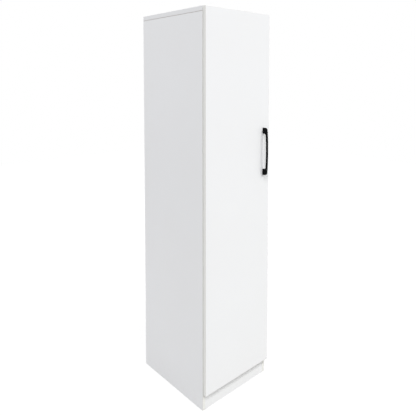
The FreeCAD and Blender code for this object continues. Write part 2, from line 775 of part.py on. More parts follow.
pad(plate, plate_outline, "plate_base", 1)
ridge = new_sketch(plate, "plate_ridge", "YZ_Plane")
add_rectangle(
    ridge,
    (f"{PLATE_FRONT} + 2", "-ridge_width / 2"),
    (f"{PLATE_REAR} - 2", "ridge_width / 2"),
)
pad(plate, ridge, "ridge_height", 1)
bores(
    plate,
    "plate_screw_holes",
    "YZ_Plane",
    "plate_base",
    [("plate_setback", "-plate_screw_spacing / 2"), ("plate_setback", "plate_screw_spacing / 2")],
    "bolt_bore + 0.2",
    "plate_base",
    -1,
)
ARM_SCREWS = ["plate_setback - 6", "plate_setback + 14"]
bores(
    plate,
    "plate_threads",
    "YZ_Plane",
    "ridge_height",
    [(y, "0") for y in ARM_SCREWS],
    "arm_screw + 2 * fit",
    "ridge_height",
    -1,
)
nodes.append(copies("hinge_mounting_plates", plate, HINGE_PLACES))

plate_screw = turned(
    "plate_screw",
    [
        ("1 - bore_depth", "bolt_bore / 5"),
        ("3 - bore_depth", "bolt_bore / 2 - fit"),
        ("plate_base", "bolt_bore / 2 - fit"),
        ("plate_base", "bolt_bore * 0.8"),
        ("plate_base + 1.2", "bolt_bore * 0.8"),
        ("plate_base + 2", "bolt_bore * 0.52"),
    ],
)
plate_screw_y = f"{CARCASS_FRONT} + plate_setback"
plate_screw_places = [
    ((f"-{INSIDE}", plate_screw_y, f"{z} + {half} * plate_screw_spacing / 2"), UNTURNED)
    for z in HINGE_HEIGHTS
    for half in (-1, 1)
]
nodes.append(copies("hinge_plate_screws", plate_screw, plate_screw_places))

# The arm is a channel over the plate's ridge. Its cheeks reach forward past its web to the pin.
arm = new_body("hinge_arm")
ARM_INSIDE = "(link_width + 0.8)"
ARM_WIDTH = f"({ARM_INSIDE} + 2 * arm_wall)"
ARM_FOOT = "(plate_base + 0.3)"
ARM_REAR = "(plate_setback + 24)"
NOSE = 3.4
cheeks = new_sketch(arm, "arm_cheeks", "XY_Plane")
add_loop(
    cheeks,
    [
        (ARM_FOOT, ARM_REAR),
        (ARM_FOOT, "plate_setback - 19"),
        ("arm_height - 2", "plate_setback - 27"),
        ("arm_pin_inset - 5", "arm_pin_setback - 1"),
        ("arm_pin_inset - 2", f"arm_pin_setback - {NOSE}"),
        ("arm_pin_inset + 2", f"arm_pin_setback - {NOSE}"),
        (f"arm_pin_inset + {NOSE}", "arm_pin_setback - 1"),
        (f"arm_pin_inset + {NOSE}", "arm_pin_setback + 6"),
        ("arm_height", "plate_setback - 12"),
        ("arm_height", ARM_REAR),
    ],
)
pad(arm, cheeks, ARM_WIDTH)
channel = new_sketch(arm, "arm_channel", "XY_Plane")
BEYOND = 30
add_loop(
    channel,
    [
        ("0", f"plate_setback + {BEYOND}"),
        ("0", f"-{BEYOND}"),
        (f"arm_pin_inset + {BEYOND}", f"-{BEYOND}"),
        (f"arm_pin_inset + {BEYOND}", "arm_pin_setback + 5"),
        ("arm_pin_inset - 1", "arm_pin_setback + 7"),
        ("arm_height - arm_wall", "plate_setback - 13"),
        ("arm_height - arm_wall", f"plate_setback + {BEYOND}"),
    ],
)
cut(arm, channel, ARM_INSIDE)
bores(
    arm,
    "arm_screw_holes",
    "YZ_Plane",
    "arm_height",
    [(y, "0") for y in ARM_SCREWS],
    "arm_screw + 0.6",
    "arm_height",
    -1,
)
arm_pin_bore = new_sketch(arm, "arm_pin_bore", "XY_Plane")
add_circle(arm_pin_bore, ARM_PIN, PIN_BORE)
cut(arm, arm_pin_bore, f"{ARM_WIDTH} + 2")
nodes.append(copies("hinge_arms", arm, HINGE_PLACES))

arm_screw = turned(
    "arm_screw",
    [
        ("1", "arm_screw / 2 - fit"),
        ("arm_height", "arm_screw / 2 - fit"),
        ("arm_height", "arm_screw * 0.9"),
        ("arm_height + 1.6", "arm_screw * 0.9"),
        ("arm_height + 2.2", "arm_screw * 0.7"),
    ],
)
arm_screw_places = [
    ((f"-{INSIDE}", f"{CARCASS_FRONT} + {y}", z), UNTURNED) for z in HINGE_HEIGHTS for y in ARM_SCREWS
]
nodes.append(copies("hinge_arm_screws", arm_screw, arm_screw_places))


def pin(name, middle, length):
    """A pin along Z, in the hinge's own frame."""
    body = new_body(name)
    outline = new_sketch(body, name + "_outline", "XY_Plane")
    add_circle(outline, middle, "pin_diameter")
    pad(body, outline, length)
    return body


nodes.append(copies("hinge_arm_pins", pin("arm_pin", ARM_PIN, f"{ARM_WIDTH} + 1"), HINGE_PLACES))

# ---------------------------------------------------------------- hinge links

# The link is a bowed strip with an eye round each pin. It bows away from the side panel, so that it
# clears the edge of the cup when the door is open. The strip's two faces are arcs round one hub.
link = new_body("hinge_link")
REACH_SQUARED = f"((arm_pin_inset - {CUP_PIN[0]})^2 + (arm_pin_setback - {CUP_PIN[1]})^2)"
BOW_RADIUS = f"(({REACH_SQUARED} / 4 + link_bow^2) / (2 * link_bow))"
arm_pin_at = Vector(size("arm_pin_inset"), size("arm_pin_setback"), 0)
cup_pin_at = Vector(
    size("door_reveal") + size("cup_pin_edge") - size("board_thickness"),
    -size("door_gap") - size("cup_pin_depth"),
    0,
)
reach = (arm_pin_at - cup_pin_at).Length
bow_radius = (reach**2 / 4 + size("link_bow") ** 2) / (2 * size("link_bow"))
chord = (arm_pin_at - cup_pin_at) / reach
outward = Vector(chord.y, -chord.x, 0)
hub = (arm_pin_at + cup_pin_at) / 2 - outward * (bow_radius - size("link_bow"))


def turn_to(point):
    """The direction of a point from the link's hub, as an angle."""
    return math.atan2(point.y - hub.y, point.x - hub.x)


def on_arc(point, arc_radius):
    """Where an arc round the hub passes in front of a point."""
    return hub + (point - hub).normalize() * arc_radius


link_strip = new_sketch(link, "link_strip", "XY_Plane")
strip_faces = [
    ("outer_radius", 1, f"{BOW_RADIUS} + link_thickness / 2"),
    ("inner_radius", -1, f"{BOW_RADIUS} - link_thickness / 2"),
]
radii = [bow_radius + side * size("link_thickness") / 2 for _, side, _ in strip_faces]
for arc_radius in radii:
    circle = Part.Circle(hub, Vector(0, 0, 1), arc_radius)
    link_strip.addGeometry(Part.ArcOfCircle(circle, turn_to(cup_pin_at), turn_to(arm_pin_at)))
link_strip.addConstraint(Sketcher.Constraint("Coincident", 0, 3, 1, 3))
for end, (at, (x, y)) in enumerate(((cup_pin_at, CUP_PIN), (arm_pin_at, ARM_PIN)), 1):
    across = link_strip.addGeometry(Part.LineSegment(*[on_arc(at, arc_radius) for arc_radius in radii]))
    eye = link_strip.addGeometry(Part.Point(at), True)
    constrain(link_strip, f"u{eye}", x, "DistanceX", -1, 1, eye, 1, at.x)
    constrain(link_strip, f"v{eye}", y, "DistanceY", -1, 1, eye, 1, at.y)
    link_strip.addConstraint(Sketcher.Constraint("Coincident", 0, end, across, 1))
    link_strip.addConstraint(Sketcher.Constraint("Coincident", 1, end, across, 2))
    link_strip.addConstraint(Sketcher.Constraint("Symmetric", across, 1, across, 2, eye, 1))
for arc, (label, _, expression) in enumerate(strip_faces):
    constrain(link_strip, label, expression, "Radius", arc, radii[arc])
pad(link, link_strip, "link_width")
eyes = new_sketch(link, "link_eyes", "XY_Plane")
for middle in (CUP_PIN, ARM_PIN):
    add_circle(eyes, middle, "pin_diameter + 2 * eye_wall")
pad(link, eyes, "link_width")
eye_bores = new_sketch(link, "link_eye_bores", "XY_Plane")
for middle in (CUP_PIN, ARM_PIN):
    add_circle(eye_bores, middle, PIN_BORE)
cut(link, eye_bores, "link_width + 2")
nodes.append(copies("hinge_links", link, HINGE_PLACES))

# ---------------------------------------------------------------- hinges, the door side

# A cup's own frame is at the middle of its bore, on the door's inner face, +Y out of the door.
CUP_PLACES = [((CUP_MIDDLE, DOOR_BACK, z), UNTURNED) for z in HINGE_HEIGHTS]
PIN_IN_CUP = "(cup_pin_edge - cup_edge - cup_bore / 2)"
cup = new_body("hinge_cup")
flange = new_sketch(cup, "cup_flange", "XZ_Plane")
add_rectangle(
    flange,
    ("-8", "-cup_screw_spacing / 2 - 6"),
    ("cup_screw_offset + 5", "cup_screw_spacing / 2 + 6"),
)
pad(cup, flange, "flange_thickness", 1)
rim = new_sketch(cup, "cup_rim", "XZ_Plane")
add_circle(rim, ("0", "0"), "cup_bore + 0.6")
pad(cup, rim, "flange_thickness", 1)
shell = new_sketch(cup, "cup_shell", "XZ_Plane", "flange_thickness")
add_circle(shell, ("0", "0"), "cup_bore - 0.2")
pad(cup, shell, "cup_depth + flange_thickness", -1)
hollow = new_sketch(cup, "cup_hollow", "XZ_Plane", "flange_thickness")
add_circle(hollow, ("0", "0"), "cup_bore - 0.2 - 2 * cup_wall")
cut(cup, hollow, "cup_depth + flange_thickness - 0.8", -1)
# Two lugs stand on the cup's floor and hold the pin, with the link between them.
BETWEEN_LUGS = "(link_width + 0.8)"
OVER_LUGS = f"({BETWEEN_LUGS} + 2 * lug_thickness)"
lugs = new_sketch(cup, "cup_lugs", "XY_Plane")
add_rectangle(
    lugs,
    (f"{PIN_IN_CUP} - 3", "0.3 - cup_depth"),
    (f"{PIN_IN_CUP} + 3", "2.6 - cup_pin_depth"),
)
pad(cup, lugs, OVER_LUGS)
gap_in_lugs = new_sketch(cup, "cup_gap_in_lugs", "XY_Plane")
add_rectangle(
    gap_in_lugs,
    (f"{PIN_IN_CUP} - 3.5", "0.8 - cup_depth"),
    (f"{PIN_IN_CUP} + 3.5", "3 - cup_pin_depth"),
)
cut(cup, gap_in_lugs, BETWEEN_LUGS)
cup_pin_bore = new_sketch(cup, "cup_pin_bore", "XY_Plane")
add_circle(cup_pin_bore, (PIN_IN_CUP, "-cup_pin_depth"), PIN_BORE)
cut(cup, cup_pin_bore, f"{OVER_LUGS} + 1")
bores(
    cup,
    "cup_screw_holes",
    "XZ_Plane",
    "flange_thickness",
    [("cup_screw_offset", "-cup_screw_spacing / 2"), ("cup_screw_offset", "cup_screw_spacing / 2")],
    "cup_screw + 0.6",
    "flange_thickness",
    -1,
)
flange_end = size("cup_screw_spacing") / 2 + 6
flange_corners = edges_where(
    cup,
    lambda middle, along: abs(along.y) > 0.99 and near(abs(middle.z), flange_end),
)
dress(cup, "Fillet", flange_corners, "4")
nodes.append(copies("hinge_cups", cup, CUP_PLACES))
nodes.append(copies("hinge_cup_pins", pin("cup_pin", CUP_PIN, f"{OVER_LUGS} - 1"), HINGE_PLACES))

cup_screw = turned(
    "cup_screw",
    [
        ("0.5 - cup_screw_depth", "cup_screw / 7"),
        ("2.5 - cup_screw_depth", "cup_screw / 2 - fit"),
        ("flange_thickness", "cup_screw / 2 - fit"),
        ("flange_thickness", "cup_screw * 1.1"),
        ("flange_thickness + 0.6", "cup_screw * 1.1"),
        ("flange_thickness + 1.2", "cup_screw * 0.7"),
    ],
)
CUP_SCREW_X = f"({CUP_MIDDLE} + cup_screw_offset)"
CUP_SCREW_HEIGHTS = [f"({z} + {half} * cup_screw_spacing / 2)" for z in HINGE_HEIGHTS for half in (-1, 1)]
cup_screw_places = [((CUP_SCREW_X, DOOR_BACK, z), X_TO_BACK) for z in CUP_SCREW_HEIGHTS]
nodes.append(copies("hinge_cup_screws", cup_screw, cup_screw_places))

# ---------------------------------------------------------------- door

PANEL_LEFT = f"({DOOR_LEFT} + band_thickness)"
PANEL_FOOT = "(door_clearance + band_thickness)"
door = board(
    "door_panel",
    f"{DOOR_WIDTH} - 2 * band_thickness",
    "door_thickness",
    f"{DOOR_HEIGHT} - 2 * band_thickness",
    (PANEL_LEFT, DOOR_FRONT, PANEL_FOOT),
)
bores(
    door,
    "door_cup_bores",
    "XZ_Plane",
    "door_thickness",
    [(f"{CUP_MIDDLE} - {PANEL_LEFT}", f"{z} - {PANEL_FOOT}") for z in HINGE_HEIGHTS],
    "cup_bore",
    "cup_bore_depth",
    -1,
)
bores(
    door,
    "door_cup_screw_bores",
    "XZ_Plane",
    "door_thickness",
    [(f"{CUP_SCREW_X} - {PANEL_LEFT}", f"{z} - {PANEL_FOOT}") for z in CUP_SCREW_HEIGHTS],
    "cup_screw",
    "cup_screw_depth",
    -1,
)
HANDLE_SCREWS = [f"handle_middle + {half} * handle_pitch / 2" for half in (-1, 1)]
bores(
    door,
    "door_handle_holes",
    "XZ_Plane",
    "door_thickness",
    [(f"{HANDLE_X} - {PANEL_LEFT}", f"{z} - {PANEL_FOOT}") for z in HANDLE_SCREWS],
    "handle_hole",
    "door_thickness",
    -1,
)
nodes.append(door)

door_band = new_body("door_edge_bands")
band_outline = new_sketch(door_band, "door_band_outline", "XZ_Plane")
add_rectangle(band_outline, ("0", "0"), (DOOR_WIDTH, DOOR_HEIGHT))
add_rectangle(
    band_outline,
    ("band_thickness", "band_thickness"),
    (f"{DOOR_WIDTH} - band_thickness", f"{DOOR_HEIGHT} - band_thickness"),
)
pad(door_band, band_outline, "door_thickness", 1)
place(door_band, DOOR_LEFT, DOOR_FRONT, "door_clearance")
door_x = size("overall_width") - 2 * size("door_reveal")
door_z = size("overall_height") - size("door_reveal") - size("door_clearance")
outer_edges = edges_where(
    door_band,
    lambda middle, along: abs(along.y) < 0.01
    and near(min(middle.x, door_x - middle.x, middle.z, door_z - middle.z), 0),
)
dress(door_band, "Fillet", outer_edges, "band_thickness * 0.8")
nodes.append(door_band)

# ---------------------------------------------------------------- handle

# The handle's own frame is at its middle, on the door's front face. The bar is a shallow arc
# between two feet, and its ends are rounded over into the feet.
handle = new_body("handle")
HALF_HANDLE = "(handle_length / 2)"
BAR_END = "(handle_projection - handle_bow)"
FRONT_RADIUS = f"(({HALF_HANDLE}^2 + handle_bow^2) / (2 * handle_bow))"
half_handle = size("handle_length") / 2
front_radius = (half_handle**2 + size("handle_bow") ** 2) / (2 * size("handle_bow"))
bar_hub = Vector(front_radius - size("handle_projection"), 0, 0)
bar_faces = [
    ("front_radius", front_radius, FRONT_RADIUS),
    ("rear_radius", front_radius - size("handle_bar"), f"{FRONT_RADIUS} - handle_bar"),
]
bar = new_sketch(handle, "handle_bar_outline", "YZ_Plane")
for arc, (label, arc_radius, expression) in enumerate(bar_faces):
    circle = Part.Circle(bar_hub, Vector(0, 0, 1), arc_radius)
    swing = math.asin(half_handle / arc_radius)
    bar.addGeometry(Part.ArcOfCircle(circle, math.pi - swing, math.pi + swing))
    hub_y = f"{FRONT_RADIUS} - handle_projection"
    constrain(bar, f"hub{arc}", hub_y, "DistanceX", -1, 1, arc, 3, bar_hub.x)
    bar.addConstraint(Sketcher.Constraint("PointOnObject", arc, 3, -1))
    constrain(bar, f"top{arc}", HALF_HANDLE, "DistanceY", -1, 1, arc, 1, half_handle)
    constrain(bar, f"foot{arc}", f"-{HALF_HANDLE}", "DistanceY", -1, 1, arc, 2, -half_handle)
for arc, (label, arc_radius, expression) in enumerate(bar_faces):
    constrain(bar, label, expression, "Radius", arc, arc_radius)
for end, sign in ((1, 1), (2, -1)):
    corners = [
        Vector(bar_hub.x - math.sqrt(arc_radius**2 - half_handle**2), sign * half_handle, 0)
        for _, arc_radius, _ in bar_faces
    ]
    line = bar.addGeometry(Part.LineSegment(*corners))
    bar.addConstraint(Sketcher.Constraint("Coincident", 0, end, line, 1))
    bar.addConstraint(Sketcher.Constraint("Coincident", 1, end, line, 2))
pad(handle, bar, "handle_width")
feet = new_sketch(handle, "handle_feet", "XZ_Plane")
for half in (-1, 1):
    foot_start = f"{half} * ({HALF_HANDLE} - handle_foot)"
    foot_end = f"{half} * {HALF_HANDLE}"
    add_rectangle(feet, ("-handle_width / 2", foot_start), ("handle_width / 2", foot_end))
pad(handle, feet, f"{BAR_END} - handle_bar / 2", -1)
place(handle, HANDLE_X, DOOR_FRONT, "handle_middle")


def edges_across_handle(z):
    """The edges that run across the handle at a height above or below its middle, off the door."""
    return edges_where(
        handle,
        lambda middle, along: abs(along.x) > 0.99 and near(abs(middle.z), z) and middle.y < -2,
    )


dress(handle, "Fillet", edges_across_handle(half_handle), "handle_foot * 0.4")
dress(handle, "Fillet", edges_across_handle(half_handle - size("handle_foot")), "handle_foot * 0.38")
half_across = size("handle_width") / 2
outline_edges = edges_where(
    handle,
    lambda middle, along: abs(along.x) < 0.01 and near(abs(middle.x), half_across) and middle.y < -0.01,
)
dress(handle, "Fillet", outline_edges, "handle_width * 0.235")
bores(
    handle,
    "handle_threads",
    "XZ_Plane",
    "0",
    [("0", f"{half} * handle_pitch / 2") for half in (-1, 1)],
    "handle_thread",
    "handle_thread_depth",
    -1,
)
nodes.append(handle)

handle_screw = turned(
    "handle_screw",
    [
        ("2 - door_thickness - handle_thread_depth", "handle_thread * 0.3"),
        ("3 - door_thickness - handle_thread_depth", "handle_thread / 2 - fit"),
        ("0", "handle_thread / 2 - fit"),
        ("0", "handle_thread"),
        ("1.4", "handle_thread"),
        ("2.4", "handle_thread * 0.65"),
    ],
)
handle_screw_places = [((HANDLE_X, DOOR_BACK, z), X_TO_BACK) for z in HANDLE_SCREWS]
nodes.append(copies("handle_screws", handle_screw, handle_screw_places))

# ---------------------------------------------------------------- door bumpers

bumper = turned(
    "bumper",
    [
        ("0", "bumper_diameter / 2"),
        ("door_gap - 0.8", "bumper_diameter / 2 - 0.3"),
        ("door_gap - 0.1", "bumper_diameter / 3"),
    ],
)
BUMPER_HEIGHTS = [
    "door_clearance + bumper_inset",
    f"door_clearance + {DOOR_HEIGHT} / 2",
    f"door_clearance + {DOOR_HEIGHT} - bumper_inset",
]
bumper_x = "overall_width / 2 - board_thickness / 2"
bumper_places = [((bumper_x, DOOR_BACK, z), X_TO_BACK) for z in BUMPER_HEIGHTS]
nodes.append(copies("door_bumpers", bumper, bumper_places))

# ---------------------------------------------------------------- checks and export

doc.recompute()
for item in doc.Objects:
    if "Invalid" in item.State or "Error" in item.State:
        raise RuntimeError(f"{item.Label} is {item.State}")
for node in nodes:
    if node.Shape.isNull() or not node.Shape.isValid() or not node.Shape.Solids:
        raise RuntimeError(f"{node.Label} has no valid solid")
for node in nodes:
    node.Shape.exportStep(f"parts/{node.Label}.step")
    box = node.Shape.BoundBox
    print(f"{node.Label:24s} {len(node.Shape.Solids):3d} solids, {box}")
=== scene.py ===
"""Finishes the broom cupboard and sets it on a pale studio floor."""

import math

import bmesh
import bpy
from bpy.props import FloatProperty, FloatVectorProperty, IntProperty, PointerProperty
from mathutils import Matrix, Vector


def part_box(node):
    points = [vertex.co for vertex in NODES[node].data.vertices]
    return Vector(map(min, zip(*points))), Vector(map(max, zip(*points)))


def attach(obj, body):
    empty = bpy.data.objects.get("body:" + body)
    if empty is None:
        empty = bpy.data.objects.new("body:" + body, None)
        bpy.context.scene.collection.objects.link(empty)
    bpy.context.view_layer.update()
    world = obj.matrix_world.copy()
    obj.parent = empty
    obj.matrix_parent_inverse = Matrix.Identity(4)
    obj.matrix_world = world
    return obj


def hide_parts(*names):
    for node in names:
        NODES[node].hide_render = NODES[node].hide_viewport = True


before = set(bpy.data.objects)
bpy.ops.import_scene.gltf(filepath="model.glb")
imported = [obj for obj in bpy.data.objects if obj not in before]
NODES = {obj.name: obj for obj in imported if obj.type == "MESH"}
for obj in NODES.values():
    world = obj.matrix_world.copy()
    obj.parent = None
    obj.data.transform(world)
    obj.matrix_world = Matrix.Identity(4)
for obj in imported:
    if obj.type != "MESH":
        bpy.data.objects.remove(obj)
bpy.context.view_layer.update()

bl_info = {
    "name": "Broom Cupboard",
    "version": (1, 0, 0),
    "blender": (4, 5, 0),
    "location": "3D View > Sidebar > Cupboard",
    "description": "Finishes a tall one-door broom cupboard and its hardware",
    "category": "Add Mesh",
}

CARCASS = "carcass"
DOOR = "door"

X, Y, Z = range(3)
MM = 0.001
MICRON = 0.001 * MM
WHITE = (1.0, 1.0, 1.0)
JOIN_DISTANCE = 10 * MICRON  # corners of neighbouring faces that are this close are one corner
FACING = 0.9  # least share of a face's normal along an axis for the face to look that way

# ---------------------------------------------------------------- sizes and colours


def length(name, default, description):
    return FloatProperty(
        name=name,
        description=description,
        default=default,
        min=0.0,
        precision=4,
        subtype="DISTANCE",
        unit="LENGTH",
    )


def colour(name, default, description):
    return FloatVectorProperty(
        name=name,
        description=description,
        default=default,
        size=3,
        min=0.0,
        max=1.0,
        subtype="COLOR",
    )


def share(name, default, description):
    return FloatProperty(
        name=name,
        description=description,
        default=default,
        min=0.0,
        max=1.0,
        subtype="FACTOR",
    )


def amount(name, default, description):
    return FloatProperty(name=name, description=description, default=default, min=0.0)


def angle(name, degrees, description):
    return FloatProperty(
        name=name,
        description=description,
        default=math.radians(degrees),
        subtype="ANGLE",
    )


class CupboardSizes(bpy.types.PropertyGroup):
    """Sizes of what is added to the frame's own solids."""

    arris: length("Arris", 0.4 * MM, "Rounding of the edge banding's corners")
    handle_foot: length("Handle foot", 31.3 * MM, "Foot of the handle, up and down")
    handle_bar: length("Handle bar", 9.2 * MM, "Handle bar, front to back")
    handle_bow: length("Handle bow", 5.8 * MM, "How far the bar bows forward between its ends")
    handle_corner: length("Handle corner", 12.52 * MM, "Radius at the outer ends of the bar")
    handle_crook: length("Handle crook", 11.89 * MM, "Radius between a foot and the bar's back")
    handle_round: length("Handle rounding", 1.7 * MM, "Rounding along both sides of the handle")
    thread_pitch: length("Thread pitch", 1.4 * MM, "Pitch of the chipboard screws")
    machine_pitch: length("Machine pitch", 0.8 * MM, "Pitch of the screws in metal and the handle")
    cap_ring: length("Cap ring", 0.35 * MM, "Depth of the ring moulded in a cover cap")
    cap_edge: length("Cap edge", 0.8 * MM, "Rounding round a cover cap")


class CupboardColours(bpy.types.PropertyGroup):
    """Colours of the cupboard's finishes."""

    board: colour("Board", (0.866, 0.874, 0.887), "White melamine face")
    banding: colour("Edge banding", (0.822, 0.822, 0.795), "White edge banding")
    # Painted light: the top's side edges get a lighter, cooler copy of the banding colour, for the
    # light that falls on them.
    top_side_banding_painted_light: colour("Top's side banding, painted lighter", (0.826, 0.83, 0.842), "Banding of the top's side edges, painted lighter and cooler for the light on them")
    chip_light: colour("Chip, light", (0.60, 0.45, 0.28), "Pale chips in a raw board edge")
    chip_dark: colour("Chip, dark", (0.24, 0.15, 0.08), "Dark chips in a raw board edge")
    lacquer: colour("Back, inside", (0.80, 0.80, 0.785), "Lacquered face of the back panels")
    fibre: colour("Back, outside", (0.34, 0.215, 0.125), "Raw face of the back panels")
    plastic: colour("White plastic", (0.82, 0.82, 0.80), "Cover caps and joining strip")
    handle: colour("Handle", (0.0025, 0.0025, 0.003), "Black handle")
    nickel: colour("Nickel", (0.70, 0.68, 0.64), "Plated hinge steel")
    zinc: colour("Zinc", (0.62, 0.64, 0.66), "Plated screws and nails")
    casting: colour("Casting", (0.46, 0.47, 0.48), "Cast cams")
    beech: colour("Beech", (0.62, 0.43, 0.25), "Dowels")
    pad: colour("Pad", (0.78, 0.80, 0.79), "Clear soft pads on the door")


class CupboardStage(bpy.types.PropertyGroup):
    """The floor, the light and the camera. Turns are seen by someone who faces the door."""

    floor_reach: length("Floor reach", 7.0, "How far the floor goes to the front, back and right")
    floor_left: length("Floor to the left", 24.0, "How far the floor goes to the left")
    floor: colour("Floor colour", (0.215, 0.21, 0.19), "Pale floor, as it lights the cupboard")
    floor_shade: share("Floor shade", 0.16, "How much of the cupboard's shadow the floor shows")
    sky: amount("Sky", 0.627, "Strength of the light from all round")
    sky_tint: colour("Sky tint", (0.943, 0.95, 1.0), "Colour of the light from all round")
    strip: amount("Strip light", 2.17, "Strength of the long light")
    strip_start: angle("Strip start", 25, "Near end of the long light, left of the door's front")
    strip_end: angle("Strip end", 70, "Far end of the long light, left of the door's front")
    strip_lamps: IntProperty(
        name="Strip lamps", description="Lamps in the long light", default=4, min=2
    )
    strip_rise: amount("Strip rise", 1.75, "Height of the long light over its distance in front")
    strip_spread: angle("Strip spread", 10, "Apparent width of each lamp in the long light")
    right: amount("Right light", 1.16, "Strength of the right light")
    right_turn: angle("Right light turn", 22, "Right light, right of the door's front")
    right_height: angle("Right light height", 38, "Right light above the horizon")
    right_spread: angle("Right light spread", 28, "Apparent width of the right light")
    right_tint: colour("Right light tint", (1.0, 1.0, 0.95), "Colour of the right light")
    rear: amount("Rear light", 0.9, "Strength of the rear light")
    rear_turn: angle("Rear light turn", 130, "Rear light, right of the door's front")
    rear_height: angle("Rear light height", 35, "Rear light above the horizon")
    rear_spread: angle("Rear light spread", 60, "Apparent width of the rear light")
    eye: FloatVectorProperty(
        name="Camera",
        description="Where the camera stands",
        default=(-1.5783, -1.7667, 1.5991),
        size=3,
        subtype="TRANSLATION",
        unit="LENGTH",
    )
    pan: angle("Pan", 41.848, "Camera turned to the right")
    tilt: angle("Tilt", 3.249, "Camera tipped down")
    lens: FloatProperty(
        name="Lens", description="Focal length", default=38.165, min=1.0, unit="CAMERA"
    )
    lens_shift: FloatProperty(
        name="Lens shift",
        description="How far the lens is shifted up, in widths of the picture",
        default=-0.2437,
    )


# ---------------------------------------------------------------- materials


def opaque(tint):
    return (*tint, 1.0)


def shade(base, factor, warm=0.0):
    """A colour made lighter or darker, and warmer where warm is above 0."""
    tint = (1 + warm, 1.0, 1 - warm)
    return tuple(min(1.0, channel * factor * t) for channel, t in zip(base, tint))


class Shading:
    """A node tree in the making."""

    def __init__(self, tree):
        self.tree = tree

    def feed(self, value, socket):
        """Links a socket to another node's output, or sets it to a plain value."""
        if isinstance(value, bpy.types.NodeSocket):
            self.tree.links.new(value, socket)
        else:
            socket.default_value = value

    def add(self, kind, **inputs):
        """A node with its inputs fed by name, with _ for a space."""
        node = self.tree.nodes.new(kind)
        for socket, value in inputs.items():
            self.feed(value, node.inputs[socket.replace("_", " ")])
        return node

    def maths(self, operation, first, second):
        node = self.add("ShaderNodeMath")
        node.operation = operation
        self.feed(first, node.inputs[0])
        self.feed(second, node.inputs[1])
        return node.outputs[0]

    def mix(self, factor, first, second):
        """Two colours, each a triple or another node's output, mixed by a pattern."""
        node = self.add("ShaderNodeMix")
        node.data_type = "RGBA"
        self.feed(factor, node.inputs["Factor"])
        colour_inputs = [socket for socket in node.inputs if socket.type == "RGBA"]
        for value, socket in zip((first, second), colour_inputs):
            linked = isinstance(value, bpy.types.NodeSocket)
            self.feed(value if linked else opaque(value), socket)
        return [socket for socket in node.outputs if socket.type == "RGBA"][0]

    def blend(self, factor, first, second):
        """Two shaders mixed by a factor."""
        node = self.add("ShaderNodeMixShader")
        for value, socket in zip((factor, first, second), node.inputs):
            self.feed(value, socket)
        return node.outputs[0]


class Finish(Shading):
    """A material in the making: its shader, and patterns in the object's own coordinates."""

    def __init__(self, name, base, roughness, metallic=0.0, **inputs):
        self.material = bpy.data.materials.new(name)
        self.material.use_nodes = True
        super().__init__(self.material.node_tree)
        self.shader = self.tree.nodes["Principled BSDF"]
        self.shader.inputs["Base Color"].default_value = opaque(base)
        self.shader.inputs["Roughness"].default_value = roughness
        self.shader.inputs["Metallic"].default_value = metallic
        for socket, value in inputs.items():
            self.shader.inputs[socket.replace("_", " ")].default_value = value
        self.place = self.add("ShaderNodeTexCoord").outputs["Object"]

    def stretched(self, x, y, z):
        """Coordinates with each axis scaled, so that a pattern runs along the smallest."""
        mapping = self.add("ShaderNodeMapping", Vector=self.place)
        mapping.inputs["Scale"].default_value = (x, y, z)
        return mapping.outputs["Vector"]

    def noise(self, scale, detail=2.0, rough=0.5, place=None):
        node = self.add(
            "ShaderNodeTexNoise",
            Vector=place or self.place,
            Scale=scale,
            Detail=detail,
            Roughness=rough,
        )
        return node.outputs["Fac"]

    def spread(self, value, low, high, source=(0.3, 0.7)):
        """Maps a pattern's usual span onto low to high."""
        node = self.add("ShaderNodeMapRange", Value=value)
        node.inputs["From Min"].default_value = source[0]
        node.inputs["From Max"].default_value = source[1]
        node.inputs["To Min"].default_value = low
        node.inputs["To Max"].default_value = high
        return node.outputs["Result"]

    def mottle(self, pattern, first, second):
        """One colour that turns into another over a pattern's usual span."""
        return self.mix(self.spread(pattern, 0.0, 1.0), first, second)

    def bump(self, *heights):
        """Surface relief from pairs of (pattern, depth)."""
        normal = None
        for pattern, depth in heights:
            node = self.add("ShaderNodeBump", Height=pattern, Strength=1.0, Distance=depth)
            if normal:
                self.tree.links.new(normal, node.inputs["Normal"])
            normal = node.outputs["Normal"]
        self.paint("Normal", normal)

    def paint(self, socket, value):
        self.tree.links.new(value, self.shader.inputs[socket])


def melamine(name, base):
    """White board face: a fine pearl grain, cloudy sheen and a little dust towards the floor."""
    finish = Finish(name, base, 0.4, Specular_IOR_Level=0.45)
    cloud = finish.noise(2.6, detail=3.0)
    face = finish.mottle(cloud, base, shade(base, 0.985, warm=0.004))
    height = finish.add("ShaderNodeSeparateXYZ", Vector=finish.place).outputs["Z"]
    near_floor = finish.spread(height, 1.0, 0.0, source=(0.0, 0.16))
    grit = finish.noise(55.0, detail=6.0, rough=0.7)
    specks = finish.spread(grit, 0.0, 0.5, source=(0.42, 0.72))
    dust = finish.maths("MULTIPLY", near_floor, specks)
    finish.paint("Base Color", finish.mix(dust, face, shade(base, 0.93, warm=0.01)))
    finish.paint("Roughness", finish.spread(finish.noise(7.0, detail=4.0), 0.35, 0.46))
    pearl, ripple = finish.noise(1100.0, detail=1.0), finish.noise(260.0)
    finish.bump((pearl, 30 * MICRON), (ripple, 40 * MICRON))
    return finish.material


def edge_banding(name, base, along):
    """Extruded plastic strip with drawn lines along its length and small nicks."""
    finish = Finish(name, base, 0.34, Specular_IOR_Level=0.5)
    lengthways, crossways = 4.0, 900.0
    stretch = [lengthways if axis == along else crossways for axis in "XYZ"]
    lines = finish.noise(1.0, place=finish.stretched(*stretch))
    wear = finish.noise(180.0, detail=5.0, rough=0.7)
    nicks = finish.spread(wear, 0.0, 0.6, source=(0.62, 0.8))
    finish.paint("Base Color", finish.mix(nicks, base, shade(base, 0.94, warm=0.01)))
    finish.paint("Roughness", finish.spread(lines, 0.28, 0.42))
    finish.bump((lines, 20 * MICRON))
    return finish.material


